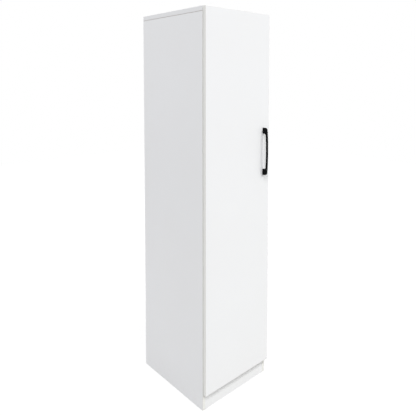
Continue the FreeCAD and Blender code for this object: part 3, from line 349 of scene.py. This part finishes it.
def chipboard(name, light, dark):
    """Raw chipboard: pressed chips of mixed tone, open and rough."""
    finish = Finish(name, light, 0.9, Specular_IOR_Level=0.2)
    flat = finish.stretched(1.0, 0.45, 0.45)
    chips = finish.add("ShaderNodeTexVoronoi", Vector=flat, Scale=620.0)
    tone = finish.add("ShaderNodeSeparateColor", Color=chips.outputs["Color"]).outputs[0]
    fine = finish.noise(1500.0, detail=4.0, rough=0.7)
    tones = finish.spread(tone, 0.0, 1.0, source=(0.1, 0.9))
    body = finish.mix(tones, light, shade(light, 0.68, warm=0.03))
    gaps = finish.spread(fine, 0.0, 0.85, source=(0.5, 0.72))
    finish.paint("Base Color", finish.mix(gaps, body, dark))
    finish.paint("Roughness", finish.spread(fine, 0.8, 0.98))
    finish.bump((tone, 200 * MICRON), (fine, 250 * MICRON))
    return finish.material


def lacquered_face(name, base):
    """Thin white lacquer over hardboard, with the fibres just showing through."""
    finish = Finish(name, base, 0.5, Specular_IOR_Level=0.4)
    upright = finish.stretched(1.0, 1.0, 0.5)
    fibres = finish.noise(150.0, detail=5.0, rough=0.65, place=upright)
    finish.paint("Base Color", finish.mottle(fibres, base, shade(base, 0.965, warm=0.006)))
    finish.paint("Roughness", finish.spread(fibres, 0.42, 0.58))
    finish.bump((fibres, 60 * MICRON))
    return finish.material


def raw_hardboard(name, base):
    """Brown fibreboard with the print of the press's mesh and stray pale fibres."""
    finish = Finish(name, base, 0.85, Specular_IOR_Level=0.25)
    blotch = finish.noise(5.0, detail=4.0, rough=0.6)
    level = finish.stretched(0.35, 1.0, 1.0)
    fibres = finish.noise(420.0, detail=5.0, rough=0.75, place=level)
    face = finish.mottle(blotch, base, shade(base, 0.82, warm=0.01))
    stray = finish.spread(fibres, 0.0, 0.5, source=(0.5, 0.75))
    finish.paint("Base Color", finish.mix(stray, face, shade(base, 1.5)))
    prints = []
    for direction in ("X", "Z"):
        wires = finish.add("ShaderNodeTexWave", Vector=finish.place, Scale=170.0, Distortion=0.6)
        wires.bands_direction = direction
        prints.append((wires.outputs["Fac"], 80 * MICRON))
    finish.paint("Roughness", finish.spread(fibres, 0.78, 0.95))
    finish.bump(*prints, (fibres, 100 * MICRON))
    return finish.material


def moulded_plastic(name, base):
    """White moulded plastic with a soft sheen and flow marks."""
    finish = Finish(name, base, 0.38, Specular_IOR_Level=0.5)
    flow = finish.noise(40.0, detail=3.0, rough=0.6)
    finish.paint("Base Color", finish.mottle(flow, base, shade(base, 0.975, warm=0.01)))
    finish.paint("Roughness", finish.spread(flow, 0.32, 0.45))
    finish.bump((finish.noise(700.0), 20 * MICRON))
    return finish.material


def gloss_black(name, base):
    """Smooth black moulded plastic with a faint ripple and dust."""
    finish = Finish(name, base, 0.24, Specular_IOR_Level=0.06)
    grit = finish.noise(900.0, detail=6.0, rough=0.75)
    dust = finish.spread(grit, 0.0, 0.5, source=(0.66, 0.82))
    finish.paint("Base Color", finish.mix(dust, base, shade(base, 4.0)))
    finish.paint("Roughness", finish.spread(finish.noise(60.0, detail=4.0), 0.2, 0.3))
    finish.bump((finish.noise(90.0), 40 * MICRON))
    return finish.material


def plated_steel(name, base, roughness, grain):
    """Plated steel: tumbled scratches over a slightly cloudy plating."""
    finish = Finish(name, base, roughness, metallic=1.0)
    cloud = finish.noise(120.0, detail=4.0, rough=0.6)
    drawn = finish.stretched(grain, grain, grain * 0.1)
    scratches = finish.noise(1.0, detail=3.0, rough=0.7, place=drawn)
    finish.paint("Base Color", finish.mottle(cloud, base, shade(base, 0.86, warm=0.015)))
    finish.paint("Roughness", finish.spread(scratches, roughness * 0.75, roughness * 1.3))
    finish.bump((scratches, 10 * MICRON), (cloud, 20 * MICRON))
    return finish.material


def sand_cast(name, base):
    """Dull die-cast metal with a grainy skin."""
    finish = Finish(name, base, 0.5, metallic=1.0)
    skin = finish.noise(900.0, detail=5.0, rough=0.7)
    finish.paint("Base Color", finish.mottle(skin, base, shade(base, 0.72)))
    finish.paint("Roughness", finish.spread(skin, 0.4, 0.62))
    finish.bump((skin, 60 * MICRON))
    return finish.material


def bare_beech(name, base):
    """Beech with short dark flecks in a fine grain."""
    finish = Finish(name, base, 0.7, Specular_IOR_Level=0.3)
    along_grain = finish.stretched(60.0, 900.0, 900.0)
    grain = finish.noise(1.0, detail=4.0, rough=0.6, place=along_grain)
    rays = finish.noise(1.0, place=finish.stretched(300.0, 1600.0, 1600.0))
    flecks = finish.spread(rays, 0.0, 1.0, source=(0.6, 0.7))
    face = finish.mottle(grain, base, shade(base, 0.8, warm=0.02))
    finish.paint("Base Color", finish.mix(flecks, face, shade(base, 0.5, warm=0.05)))
    finish.bump((grain, 100 * MICRON))
    return finish.material


def clear_rubber(name, base):
    """Soft clear pad, cloudy inside."""
    finish = Finish(name, base, 0.3, Transmission_Weight=0.7, IOR=1.45)
    cloud = finish.noise(500.0, detail=3.0)
    finish.paint("Base Color", finish.mottle(cloud, base, shade(base, 0.9)))
    finish.paint("Roughness", finish.spread(cloud, 0.22, 0.4))
    return finish.material


MAKERS = {
    "melamine": lambda tints: melamine("white melamine", tints.board),
    "band_upright": lambda tints: edge_banding("edge banding, upright", tints.banding, "Z"),
    "band_across": lambda tints: edge_banding("edge banding, across", tints.banding, "X"),
    # Painted light: the top's side edges use this lighter, cooler banding in place of the banding's
    # own colour.
    "band_deep_painted_light": lambda tints: edge_banding("edge banding, front to back, painted lighter", tints.top_side_banding_painted_light, "Y"),
    "chipboard": lambda tints: chipboard("raw chipboard", tints.chip_light, tints.chip_dark),
    "lacquer": lambda tints: lacquered_face("lacquered hardboard", tints.lacquer),
    "hardboard": lambda tints: raw_hardboard("raw hardboard", tints.fibre),
    "plastic": lambda tints: moulded_plastic("white plastic", tints.plastic),
    "handle": lambda tints: gloss_black("black handle", tints.handle),
    "nickel": lambda tints: plated_steel("nickel-plated steel", tints.nickel, 0.26, 900.0),
    "zinc": lambda tints: plated_steel("zinc-plated steel", tints.zinc, 0.34, 1400.0),
    "casting": lambda tints: sand_cast("cast zinc", tints.casting),
    "beech": lambda tints: bare_beech("bare beech", tints.beech),
    "rubber": lambda tints: clear_rubber("clear rubber", tints.pad),
}
made_finishes = {}


def finish_for(context, key):
    """The named finish, made the first time that a piece asks for it."""
    if key not in made_finishes:
        made_finishes[key] = MAKERS[key](context.scene.cupboard_colours)
    return made_finishes[key]


# ---------------------------------------------------------------- helpers for pieces and nodes


def coat(context, node, *keys, choose=None):
    """Gives a CAD node its finishes. choose(centre, normal) is the number of a face's finish."""
    obj = NODES[node]
    obj.data.materials.clear()
    for key in keys:
        obj.data.materials.append(finish_for(context, key))
    for face in obj.data.polygons:
        face.material_index = choose(face.center, face.normal) if choose else 0


def soften(node, width):
    """Rounds a plain solid's corners, whose faces come unjoined from the frame."""
    obj = NODES[node]
    weld = obj.modifiers.new("Join faces", "WELD")
    weld.merge_threshold = JOIN_DISTANCE
    bevel = obj.modifiers.new("Arris", "BEVEL")
    bevel.width = width
    bevel.segments = 3
    bevel.limit_method = "ANGLE"
    bevel.angle_limit = math.radians(40)
    bevel.harden_normals = True


def new_piece(context, name, mesh, finish, body, replaced):
    """Puts a mesh in the scene as a piece that rides a body and stands for a CAD node."""
    piece = bpy.data.objects.new(name, mesh)
    context.scene.collection.objects.link(piece)
    mesh.materials.append(finish_for(context, finish))
    weighted = piece.modifiers.new("Flat faces stay flat", "WEIGHTED_NORMAL")
    weighted.keep_sharp = True
    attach(piece, body)
    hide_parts(replaced)


def mesh_from(bm, name, sharp=math.radians(35)):
    """A shaded mesh from a bmesh, with edges over the angle kept sharp."""
    bmesh.ops.recalc_face_normals(bm, faces=bm.faces)
    for face in bm.faces:
        face.smooth = True
    for edge in bm.edges:
        if len(edge.link_faces) == 2:
            edge.smooth = edge.calc_face_angle() < sharp
    mesh = bpy.data.meshes.new(name)
    bm.to_mesh(mesh)
    bm.free()
    return mesh


def solid_islands(node):
    """(lowest corner, highest corner) of each separate solid in a CAD node."""
    bm = bmesh.new()
    bm.from_mesh(NODES[node].data)
    bmesh.ops.remove_doubles(bm, verts=bm.verts, dist=JOIN_DISTANCE)
    unseen = set(bm.verts)
    boxes = []
    while unseen:
        front = [unseen.pop()]
        island = list(front)
        while front:
            vert = front.pop()
            for edge in vert.link_edges:
                other = edge.other_vert(vert)
                if other in unseen:
                    unseen.discard(other)
                    front.append(other)
                    island.append(other)
        low = Vector([min(v.co[axis] for v in island) for axis in range(3)])
        high = Vector([max(v.co[axis] for v in island) for axis in range(3)])
        boxes.append((low, high))
    bm.free()
    return sorted(boxes, key=lambda pair: tuple(pair[0]))


def bridge(bm, first, second):
    """Quads between two closed rows of vertices of equal length."""
    count = len(first)
    for i in range(count):
        j = (i + 1) % count
        bm.faces.new((first[i], first[j], second[j], second[i]))


TURNED_SIDES = 28


def revolve(bm, profile, place):
    """Turns (along, radius) pairs about local X into rings of vertices, closed at the first."""
    rings = []
    for along, radius in profile:
        ring = []
        for step in range(TURNED_SIDES):
            turn = 2 * math.pi * step / TURNED_SIDES
            corner = Vector((along, radius * math.cos(turn), radius * math.sin(turn)))
            ring.append(bm.verts.new(place @ corner))
        rings.append(ring)
    for first, second in zip(rings, rings[1:]):
        bridge(bm, first, second)
    bm.faces.new(rings[0])
    return rings


# ---------------------------------------------------------------- boards, banding and back

# Each white board, and the axis that runs through its thickness.
WHITE_BOARDS = {
    "left_side_panel": X,
    "right_side_panel": X,
    "top_panel": Z,
    "bottom_panel": Z,
    "shelf": Z,
    "plinth_board": Y,
    "rear_fixing_rail": Y,
    "door_panel": Y,
}
ON_FACE = 0.05 * MM  # a face whose middle is this near a board's broad side lies on it
CARCASS_UPRIGHT = 17 * MM  # wider than the banding on a side panel's front edge
DOOR_UPRIGHT = 1.1 * MM  # thicker than the banding on the door's edges


def broad_sides(node, across):
    """Chooses the first finish for a board's two broad sides and the second for its cuts."""
    low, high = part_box(node)

    def choose(centre, normal):
        depth = min(centre[across] - low[across], high[across] - centre[across])
        return 0 if depth < ON_FACE and abs(normal[across]) > FACING else 1

    return choose


def near_the_ends(low, high, width):
    """Chooses the first finish within a width of the left and right ends, or the second."""
    return lambda centre, normal: 0 if min(centre.x - low.x, high.x - centre.x) < width else 1


class CUPBOARD_OT_boards(bpy.types.Operator):
    """Faces the carcass boards and the door with melamine and leaves their cut edges raw"""

    bl_idname = "cupboard.boards"
    bl_label = "Boards"

    def execute(self, context):
        for node, across in WHITE_BOARDS.items():
            coat(context, node, "melamine", "chipboard", choose=broad_sides(node, across))
        return {"FINISHED"}


class CUPBOARD_OT_banding(bpy.types.Operator):
    """Finishes the edge banding of the carcass, the top and the door"""

    bl_idname = "cupboard.banding"
    bl_label = "Edge banding"

    def execute(self, context):
        low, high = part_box("carcass_edge_bands")
        carcass_ends = near_the_ends(low, high, CARCASS_UPRIGHT)
        low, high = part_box("door_edge_bands")
        door_ends = near_the_ends(low, high, DOOR_UPRIGHT)
        top_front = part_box("top_panel")[0].y + MM

        def front_or_end(centre, normal):
            return 0 if centre.y < top_front else 1

        coat(context, "carcass_edge_bands", "band_upright", "band_across", choose=carcass_ends)
        # The top's side edges get the lighter banding, which is painted light; its front edge keeps
        # the banding's own colour.
        coat(context, "top_edge_band", "band_across", "band_deep_painted_light", choose=front_or_end)
        coat(context, "door_edge_bands", "band_upright", "band_across", choose=door_ends)
        soften("carcass_edge_bands", context.scene.cupboard_sizes.arris)
        return {"FINISHED"}


class CUPBOARD_OT_back(bpy.types.Operator):
    """Finishes the back panels, their joining strip and their nails"""

    bl_idname = "cupboard.back"
    bl_label = "Back"

    def execute(self, context):
        def inside_or_outside(centre, normal):
            return 0 if normal.y < -FACING else 1

        for node in ("back_panel_upper", "back_panel_lower"):
            coat(context, node, "lacquer", "hardboard", choose=inside_or_outside)
        coat(context, "back_joining_strip", "plastic")
        coat(context, "back_nails", "zinc")
        return {"FINISHED"}


# ---------------------------------------------------------------- joint fittings

CAP_EDGE_STEPS = 4
CAP_RING = (0.62, 0.58, 0.5, 0.46)  # the ring's four rims, as shares of the cap's radius


def cover_cap(bm, low, high, edge, ring):
    """A cap with a rounded edge and a ring sunk in its face, which looks down or inwards."""
    size = high - low
    thin = min(range(3), key=lambda axis: size[axis])
    middle = (low + high) / 2
    facing = Vector((0.0, 0.0, 0.0))
    facing[thin] = -1.0 if thin == Z else -math.copysign(1.0, middle[thin])
    thick, radius = size[thin], max(size) / 2
    profile = [(0.0, radius)]
    for step in range(CAP_EDGE_STEPS + 1):
        turn = math.pi / 2 * step / CAP_EDGE_STEPS
        profile.append((thick - edge * (1 - math.sin(turn)), radius - edge * (1 - math.cos(turn))))
    heights = (thick, thick - ring, thick - ring, thick)
    profile += [(height, radius * rim) for height, rim in zip(heights, CAP_RING)]
    turn = facing.to_track_quat("X", "Z").to_matrix().to_4x4()
    place = Matrix.Translation(middle - facing * thick / 2) @ turn
    bm.faces.new(revolve(bm, profile, place)[-1])


class CUPBOARD_OT_joint_fittings(bpy.types.Operator):
    """Finishes the cams, bolts, dowels and cover caps that join the boards"""

    bl_idname = "cupboard.joint_fittings"
    bl_label = "Joint fittings"

    def execute(self, context):
        coat(context, "cam_bolts", "zinc")
        coat(context, "cam_locks", "casting")
        coat(context, "joint_dowels", "beech")
        sizes = context.scene.cupboard_sizes
        bm = bmesh.new()
        for low, high in solid_islands("cam_cover_caps"):
            cover_cap(bm, low, high, sizes.cap_edge, sizes.cap_ring)
        mesh = mesh_from(bm, "cover_caps")
        new_piece(
            context, "cover_caps", mesh, "plastic", CARCASS, "cam_cover_caps"
        )
        return {"FINISHED"}


# ---------------------------------------------------------------- screws and hinges

THREAD_FLAT = 0.4  # share of a turn that is plain root, before the thread rises
THREAD_CREST = 0.7  # share of a turn before the thread's crest
POINT = 1.6 * MM  # from a screw's tip to its thread
NECK = 2.5 * MM  # from a screw's thread to its head
HEAD_RISE = 1.2 * MM
# The outline of a low round head: how far below its top, in rises, and its share of the radius.
HEAD_OUTLINE = ((1.0, 0.96), (0.8, 1.0), (0.35, 0.9), (0.08, 0.72), (0.0, 0.6))
RECESS_TAPER = 0.6  # the driver recess's floor over its mouth


def thread_profile(start, end, root, crest, pitch):
    """The side of a thread, as (along, radius) pairs between two places on a shank."""
    turns = max(1, round((end - start) / pitch))
    step = (end - start) / turns
    profile = []
    for turn in range(turns):
        low = start + step * turn
        profile += [(low, root), (low + step * THREAD_FLAT, root)]
        profile.append((low + step * THREAD_CREST, crest))
    return profile + [(end, root)]


def screw_shape(pitch):
    """A screw's profile from its tip to its head's rim and its recess's reach, width and depth,
    as a function of its length and of the size of the box round it."""

    def shape(long, extent):
        head = min(size for size in extent if size > 0) / 2
        shank = head * 0.45
        tip, root = shank * 0.2, shank * 0.72
        under_head = long - HEAD_RISE
        profile = [(0.0, tip)]
        profile += thread_profile(POINT, under_head - NECK, root, shank, pitch)
        profile.append((under_head, shank))
        profile += [(long - HEAD_RISE * below, head * out) for below, out in HEAD_OUTLINE]
        reach, width, depth = head * 0.46, head * 0.17, HEAD_RISE * 1.4
        return profile, (reach, width, depth)

    return shape


def cross_outline(reach, width):
    """The corners of a cross, in order round it, in its own plane."""
    corners = []
    for quarter in range(4):
        turn = Matrix.Rotation(quarter * math.pi / 2, 2)
        corners += [turn @ Vector((reach, -width / 2)), turn @ Vector((reach, width / 2))]
        corners.append(turn @ Vector((width / 2, width / 2)))
    return corners


def driver_recess(bm, rim, along, reach, width, depth, place):
    """Fills a screw head's rim with a face that has a tapered cross sunk in it."""

    def corners_at(height, scale):
        corners = cross_outline(reach, width)
        return [bm.verts.new(place @ Vector((height, c.x * scale, c.y * scale))) for c in corners]

    mouth = corners_at(along, 1.0)
    floor = corners_at(along - depth, RECESS_TAPER)
    edges = []
    for loop in (rim, mouth):
        for i in range(len(loop)):
            pair = (loop[i], loop[(i + 1) % len(loop)])
            edges.append(bm.edges.get(pair) or bm.edges.new(pair))
    bmesh.ops.triangle_fill(bm, edges=edges, use_beauty=True)
    bridge(bm, mouth, floor)
    bm.faces.new(floor)


def screws(context, name, node, towards, shape, body):
    """Threaded screws in place of a node's plain ones. towards leads from a tip to its head."""
    bm = bmesh.new()
    axis = Vector(towards)
    turn = axis.to_track_quat("X", "Z").to_matrix().to_4x4()
    for low, high in solid_islands(node):
        middle = (low + high) / 2
        long = abs((high - low).dot(axis))
        place = Matrix.Translation(middle - axis * long / 2) @ turn
        profile, recess = shape(long, high - low)
        rings = revolve(bm, profile, place)
        driver_recess(bm, rings[-1], profile[-1][0], *recess, place)
    new_piece(context, name, mesh_from(bm, name), "zinc", body, node)


class CUPBOARD_OT_hinges(bpy.types.Operator):
    """Finishes the hinges and gives them their screws"""

    bl_idname = "cupboard.hinges"
    bl_label = "Hinges"

    def execute(self, context):
        sizes = context.scene.cupboard_sizes
        for node in ("hinge_mounting_plates", "hinge_arms", "hinge_links", "hinge_cups"):
            coat(context, node, "nickel")
        for node in ("hinge_arm_pins", "hinge_cup_pins"):
            coat(context, node, "zinc")
        wood = screw_shape(sizes.thread_pitch)
        machine = screw_shape(sizes.machine_pitch)
        screws(context, "plate_screws", "hinge_plate_screws", (1, 0, 0), wood, CARCASS)
        screws(context, "arm_screws", "hinge_arm_screws", (1, 0, 0), machine, CARCASS)
        screws(context, "cup_screws", "hinge_cup_screws", (0, 1, 0), wood, DOOR)
        return {"FINISHED"}


# ---------------------------------------------------------------- handle and door pads

FOOT_POINTS = 4
CORNER_POINTS = 12
BAR_POINTS = 41
ROUNDING_STEPS = 6


def on_circle(hub, radius, point):
    """Where a circle round the hub passes on the way to a point."""
    return hub + (point - hub).normalized() * radius


def arc_between(centre, start, end, count):
    """Points on the shorter arc between two points at one distance from the centre."""
    first, last = start - centre, end - centre
    whole = first.angle_signed(last)
    return [
        centre + Matrix.Rotation(-whole * step / (count - 1), 2) @ first for step in range(count)
    ]


def handle_line(hub, radius, end, corner):
    """One side of the handle in its (off the door, up) plane, from its top foot to its bottom
    foot: out along the foot's end, round the corner and down the bar's arc."""
    centre = Vector((hub.x + math.sqrt((radius - corner) ** 2 - (end - corner) ** 2), end - corner))
    out = Vector((centre.x, end))
    down = on_circle(hub, radius, centre)
    top = [Vector((out.x * step / FOOT_POINTS, end)) for step in range(FOOT_POINTS)]
    top += arc_between(centre, out, down, CORNER_POINTS)
    bar = arc_between(hub, down, Vector((down.x, -down.y)), BAR_POINTS)
    bottom = [Vector((p.x, -p.y)) for p in reversed(top)]
    return top + bar[1:-1] + bottom


def normals_of(line):
    """The direction to the left of each point of a line, walking along it."""
    normals = []
    for i in range(len(line)):
        along = line[min(i + 1, len(line) - 1)] - line[max(i - 1, 0)]
        normals.append(Vector((-along.y, along.x)).normalized())
    return normals


def handle_mesh(low, high, sizes):
    """The bow handle that fills the box between two corners, with rounded sides."""
    middle = (low + high) / 2
    half_height = (high.z - low.z) / 2
    half_width = (high.x - low.x) / 2
    projection = high.y - low.y
    radius = (half_height**2 + sizes.handle_bow**2) / (2 * sizes.handle_bow)
    hub = Vector((projection - radius, 0.0))
    inner_radius = radius - sizes.handle_bar
    inner_height = half_height - sizes.handle_foot
    front = handle_line(hub, radius, half_height, sizes.handle_corner)
    rear = handle_line(hub, inner_radius, inner_height, sizes.handle_crook)
    front_inward = [-normal for normal in normals_of(front)]
    rear_inward = normals_of(rear)
    outline = list(zip(front + rear[::-1], front_inward + rear_inward[::-1]))

    turns = [math.pi / 2 * step / ROUNDING_STEPS for step in range(ROUNDING_STEPS + 1)]
    levels = [(-1, turn) for turn in reversed(turns)] + [(1, turn) for turn in turns]
    bm = bmesh.new()
    rings = []
    for side, turn in levels:
        across = side * (half_width - sizes.handle_round * (1 - math.sin(turn)))
        inset = sizes.handle_round * (1 - math.cos(turn))
        ring = []
        for point, inward in outline:
            at = point + inward * inset
            ring.append(bm.verts.new((middle.x + across, high.y - at.x, middle.z + at.y)))
        rings.append(ring)
    for first, second in zip(rings, rings[1:]):
        bridge(bm, first, second)
    count = len(front)
    for ring in (rings[0], rings[-1]):
        for i in range(count - 1):
            j = 2 * count - 1 - i
            bm.faces.new((ring[i], ring[i + 1], ring[j - 1], ring[j]))
    return mesh_from(bm, "bow_handle", sharp=math.radians(50))


class CUPBOARD_OT_handle(bpy.types.Operator):
    """Makes the bow handle and its screws"""

    bl_idname = "cupboard.handle"
    bl_label = "Handle"

    def execute(self, context):
        sizes = context.scene.cupboard_sizes
        low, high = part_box("handle")
        mesh = handle_mesh(low, high, sizes)
        new_piece(context, "bow_handle", mesh, "handle", DOOR, "handle")
        machine = screw_shape(sizes.machine_pitch)
        screws(context, "handle_fixing_screws", "handle_screws", (0, 1, 0), machine, DOOR)
        return {"FINISHED"}


class CUPBOARD_OT_door_pads(bpy.types.Operator):
    """Finishes the soft pads on the inside of the door"""

    bl_idname = "cupboard.door_pads"
    bl_label = "Door pads"

    def execute(self, context):
        coat(context, "door_bumpers", "rubber")
        return {"FINISHED"}


# ---------------------------------------------------------------- stage

FLOOR_AS_SEEN = (0.92, 0.92, 0.92)
SENSOR_WIDTH = 36.0  # millimetres


def seen_share(shading):
    """1 for what the camera, a reflection or a clear piece sees, 0 for what lights the scene."""
    path = shading.add("ShaderNodeLightPath")
    seen = path.outputs["Is Camera Ray"]
    for output in ("Is Glossy Ray", "Is Transmission Ray"):
        seen = shading.maths("MAXIMUM", seen, path.outputs[output])
    return seen


def light_world(scene, strength, tint):
    """A world that is plain white to look at, and lights the scene from all round."""
    world = bpy.data.worlds.new("studio")
    scene.world = world
    world.use_nodes = True
    world.node_tree.nodes.clear()
    shading = Shading(world.node_tree)
    seen = shading.add("ShaderNodeBackground", Color=opaque(WHITE), Strength=1.0)
    lit = shading.add("ShaderNodeBackground", Color=opaque(tint), Strength=strength)
    surface = shading.blend(seen_share(shading), lit.outputs[0], seen.outputs[0])
    shading.add("ShaderNodeOutputWorld", Surface=surface)


def floor_material(base, shown_shade):
    """A pale floor that looks white and still shows a little of the cupboard's shadow."""
    material = bpy.data.materials.new("studio floor")
    material.use_nodes = True
    material.node_tree.nodes.clear()
    shading = Shading(material.node_tree)
    seen = seen_share(shading)
    tint = shading.mix(seen, base, FLOOR_AS_SEEN)
    matt = shading.add("ShaderNodeBsdfDiffuse", Color=tint)
    white = shading.add("ShaderNodeEmission", Color=opaque(WHITE), Strength=1.0)
    shown_white = shading.maths("MULTIPLY", seen, 1.0 - shown_shade)
    surface = shading.blend(shown_white, matt.outputs[0], white.outputs[0])
    shading.add("ShaderNodeOutputMaterial", Surface=surface)
    return material


def lay_floor(scene, stage):
    reach, left = stage.floor_reach, stage.floor_left
    corners = [(-left, -reach, 0), (reach, -reach, 0), (reach, reach, 0), (-left, reach, 0)]
    mesh = bpy.data.meshes.new("studio_floor")
    mesh.from_pydata(corners, [], [(0, 1, 2, 3)])
    mesh.materials.append(floor_material(stage.floor, stage.floor_shade))
    floor = bpy.data.objects.new("studio_floor", mesh)
    scene.collection.objects.link(floor)


def hang_lamp(scene, name, strength, spread, height, turn, tint=WHITE):
    """A soft lamp far off, at a height above the horizon and right of the door's front."""
    lamp = bpy.data.lights.new(name, "SUN")
    lamp.energy = strength
    lamp.angle = spread
    lamp.color = tint
    light = bpy.data.objects.new(name, lamp)
    light.rotation_euler = (math.pi / 2 - height, 0.0, turn)
    scene.collection.objects.link(light)


def hang_lights(scene, stage):
    """A row of lamps from the left for the long light, then one on the right and one behind."""
    count = stage.strip_lamps
    for i in range(count):
        turn = stage.strip_start + (stage.strip_end - stage.strip_start) * i / (count - 1)
        height = math.atan(stage.strip_rise * math.cos(turn))
        hang_lamp(scene, "strip_light", stage.strip / count, stage.strip_spread, height, -turn)
    right = (stage.right, stage.right_spread, stage.right_height, stage.right_turn)
    hang_lamp(scene, "right_light", *right, stage.right_tint)
    rear = (stage.rear, stage.rear_spread, stage.rear_height, stage.rear_turn)
    hang_lamp(scene, "rear_light", *rear)


def place_camera(scene, stage):
    data = bpy.data.cameras.new("camera")
    data.sensor_width = SENSOR_WIDTH
    data.lens = stage.lens
    data.shift_y = stage.lens_shift
    camera = bpy.data.objects.new("camera", data)
    camera.location = stage.eye
    camera.rotation_euler = (math.pi / 2 - stage.tilt, 0.0, -stage.pan)
    scene.collection.objects.link(camera)
    scene.camera = camera


class CUPBOARD_OT_stage(bpy.types.Operator):
    """Lays the floor, sets the light and places the camera"""

    bl_idname = "cupboard.stage"
    bl_label = "Stage"

    def execute(self, context):
        scene = context.scene
        stage = scene.cupboard_stage
        lay_floor(scene, stage)
        light_world(scene, stage.sky, stage.sky_tint)
        hang_lights(scene, stage)
        place_camera(scene, stage)
        scene.view_settings.view_transform = "Standard"
        return {"FINISHED"}


# ---------------------------------------------------------------- panel and registration


class CUPBOARD_PT_steps(bpy.types.Panel):
    """Lists the steps that finish the cupboard"""

    bl_idname = "CUPBOARD_PT_steps"
    bl_label = "Broom Cupboard"
    bl_space_type = "VIEW_3D"
    bl_region_type = "UI"
    bl_category = "Cupboard"

    def draw(self, context):
        for group in GROUPS:
            box = self.layout.box()
            settings = getattr(context.scene, group)
            for name in settings.bl_rna.properties.keys():
                if name not in {"rna_type", "name"}:
                    box.prop(settings, name)
        for step in STEPS:
            self.layout.operator(step.bl_idname)


GROUPS = {
    "cupboard_sizes": CupboardSizes,
    "cupboard_colours": CupboardColours,
    "cupboard_stage": CupboardStage,
}
STEPS = (
    CUPBOARD_OT_boards,
    CUPBOARD_OT_banding,
    CUPBOARD_OT_back,
    CUPBOARD_OT_joint_fittings,
    CUPBOARD_OT_hinges,
    CUPBOARD_OT_handle,
    CUPBOARD_OT_door_pads,
    CUPBOARD_OT_stage,
)


def register():
    for name, group in GROUPS.items():
        bpy.utils.register_class(group)
        setattr(bpy.types.Scene, name, PointerProperty(type=group))
    for step in STEPS:
        bpy.utils.register_class(step)
    bpy.utils.register_class(CUPBOARD_PT_steps)


def unregister():
    bpy.utils.unregister_class(CUPBOARD_PT_steps)
    for step in reversed(STEPS):
        bpy.utils.unregister_class(step)
    for name, group in GROUPS.items():
        delattr(bpy.types.Scene, name)
        bpy.utils.unregister_class(group)


def main():
    register()
    for step in STEPS:
        category, name = step.bl_idname.split(".")
        getattr(getattr(bpy.ops, category), name)()


if __name__ == "__main__":
    main()
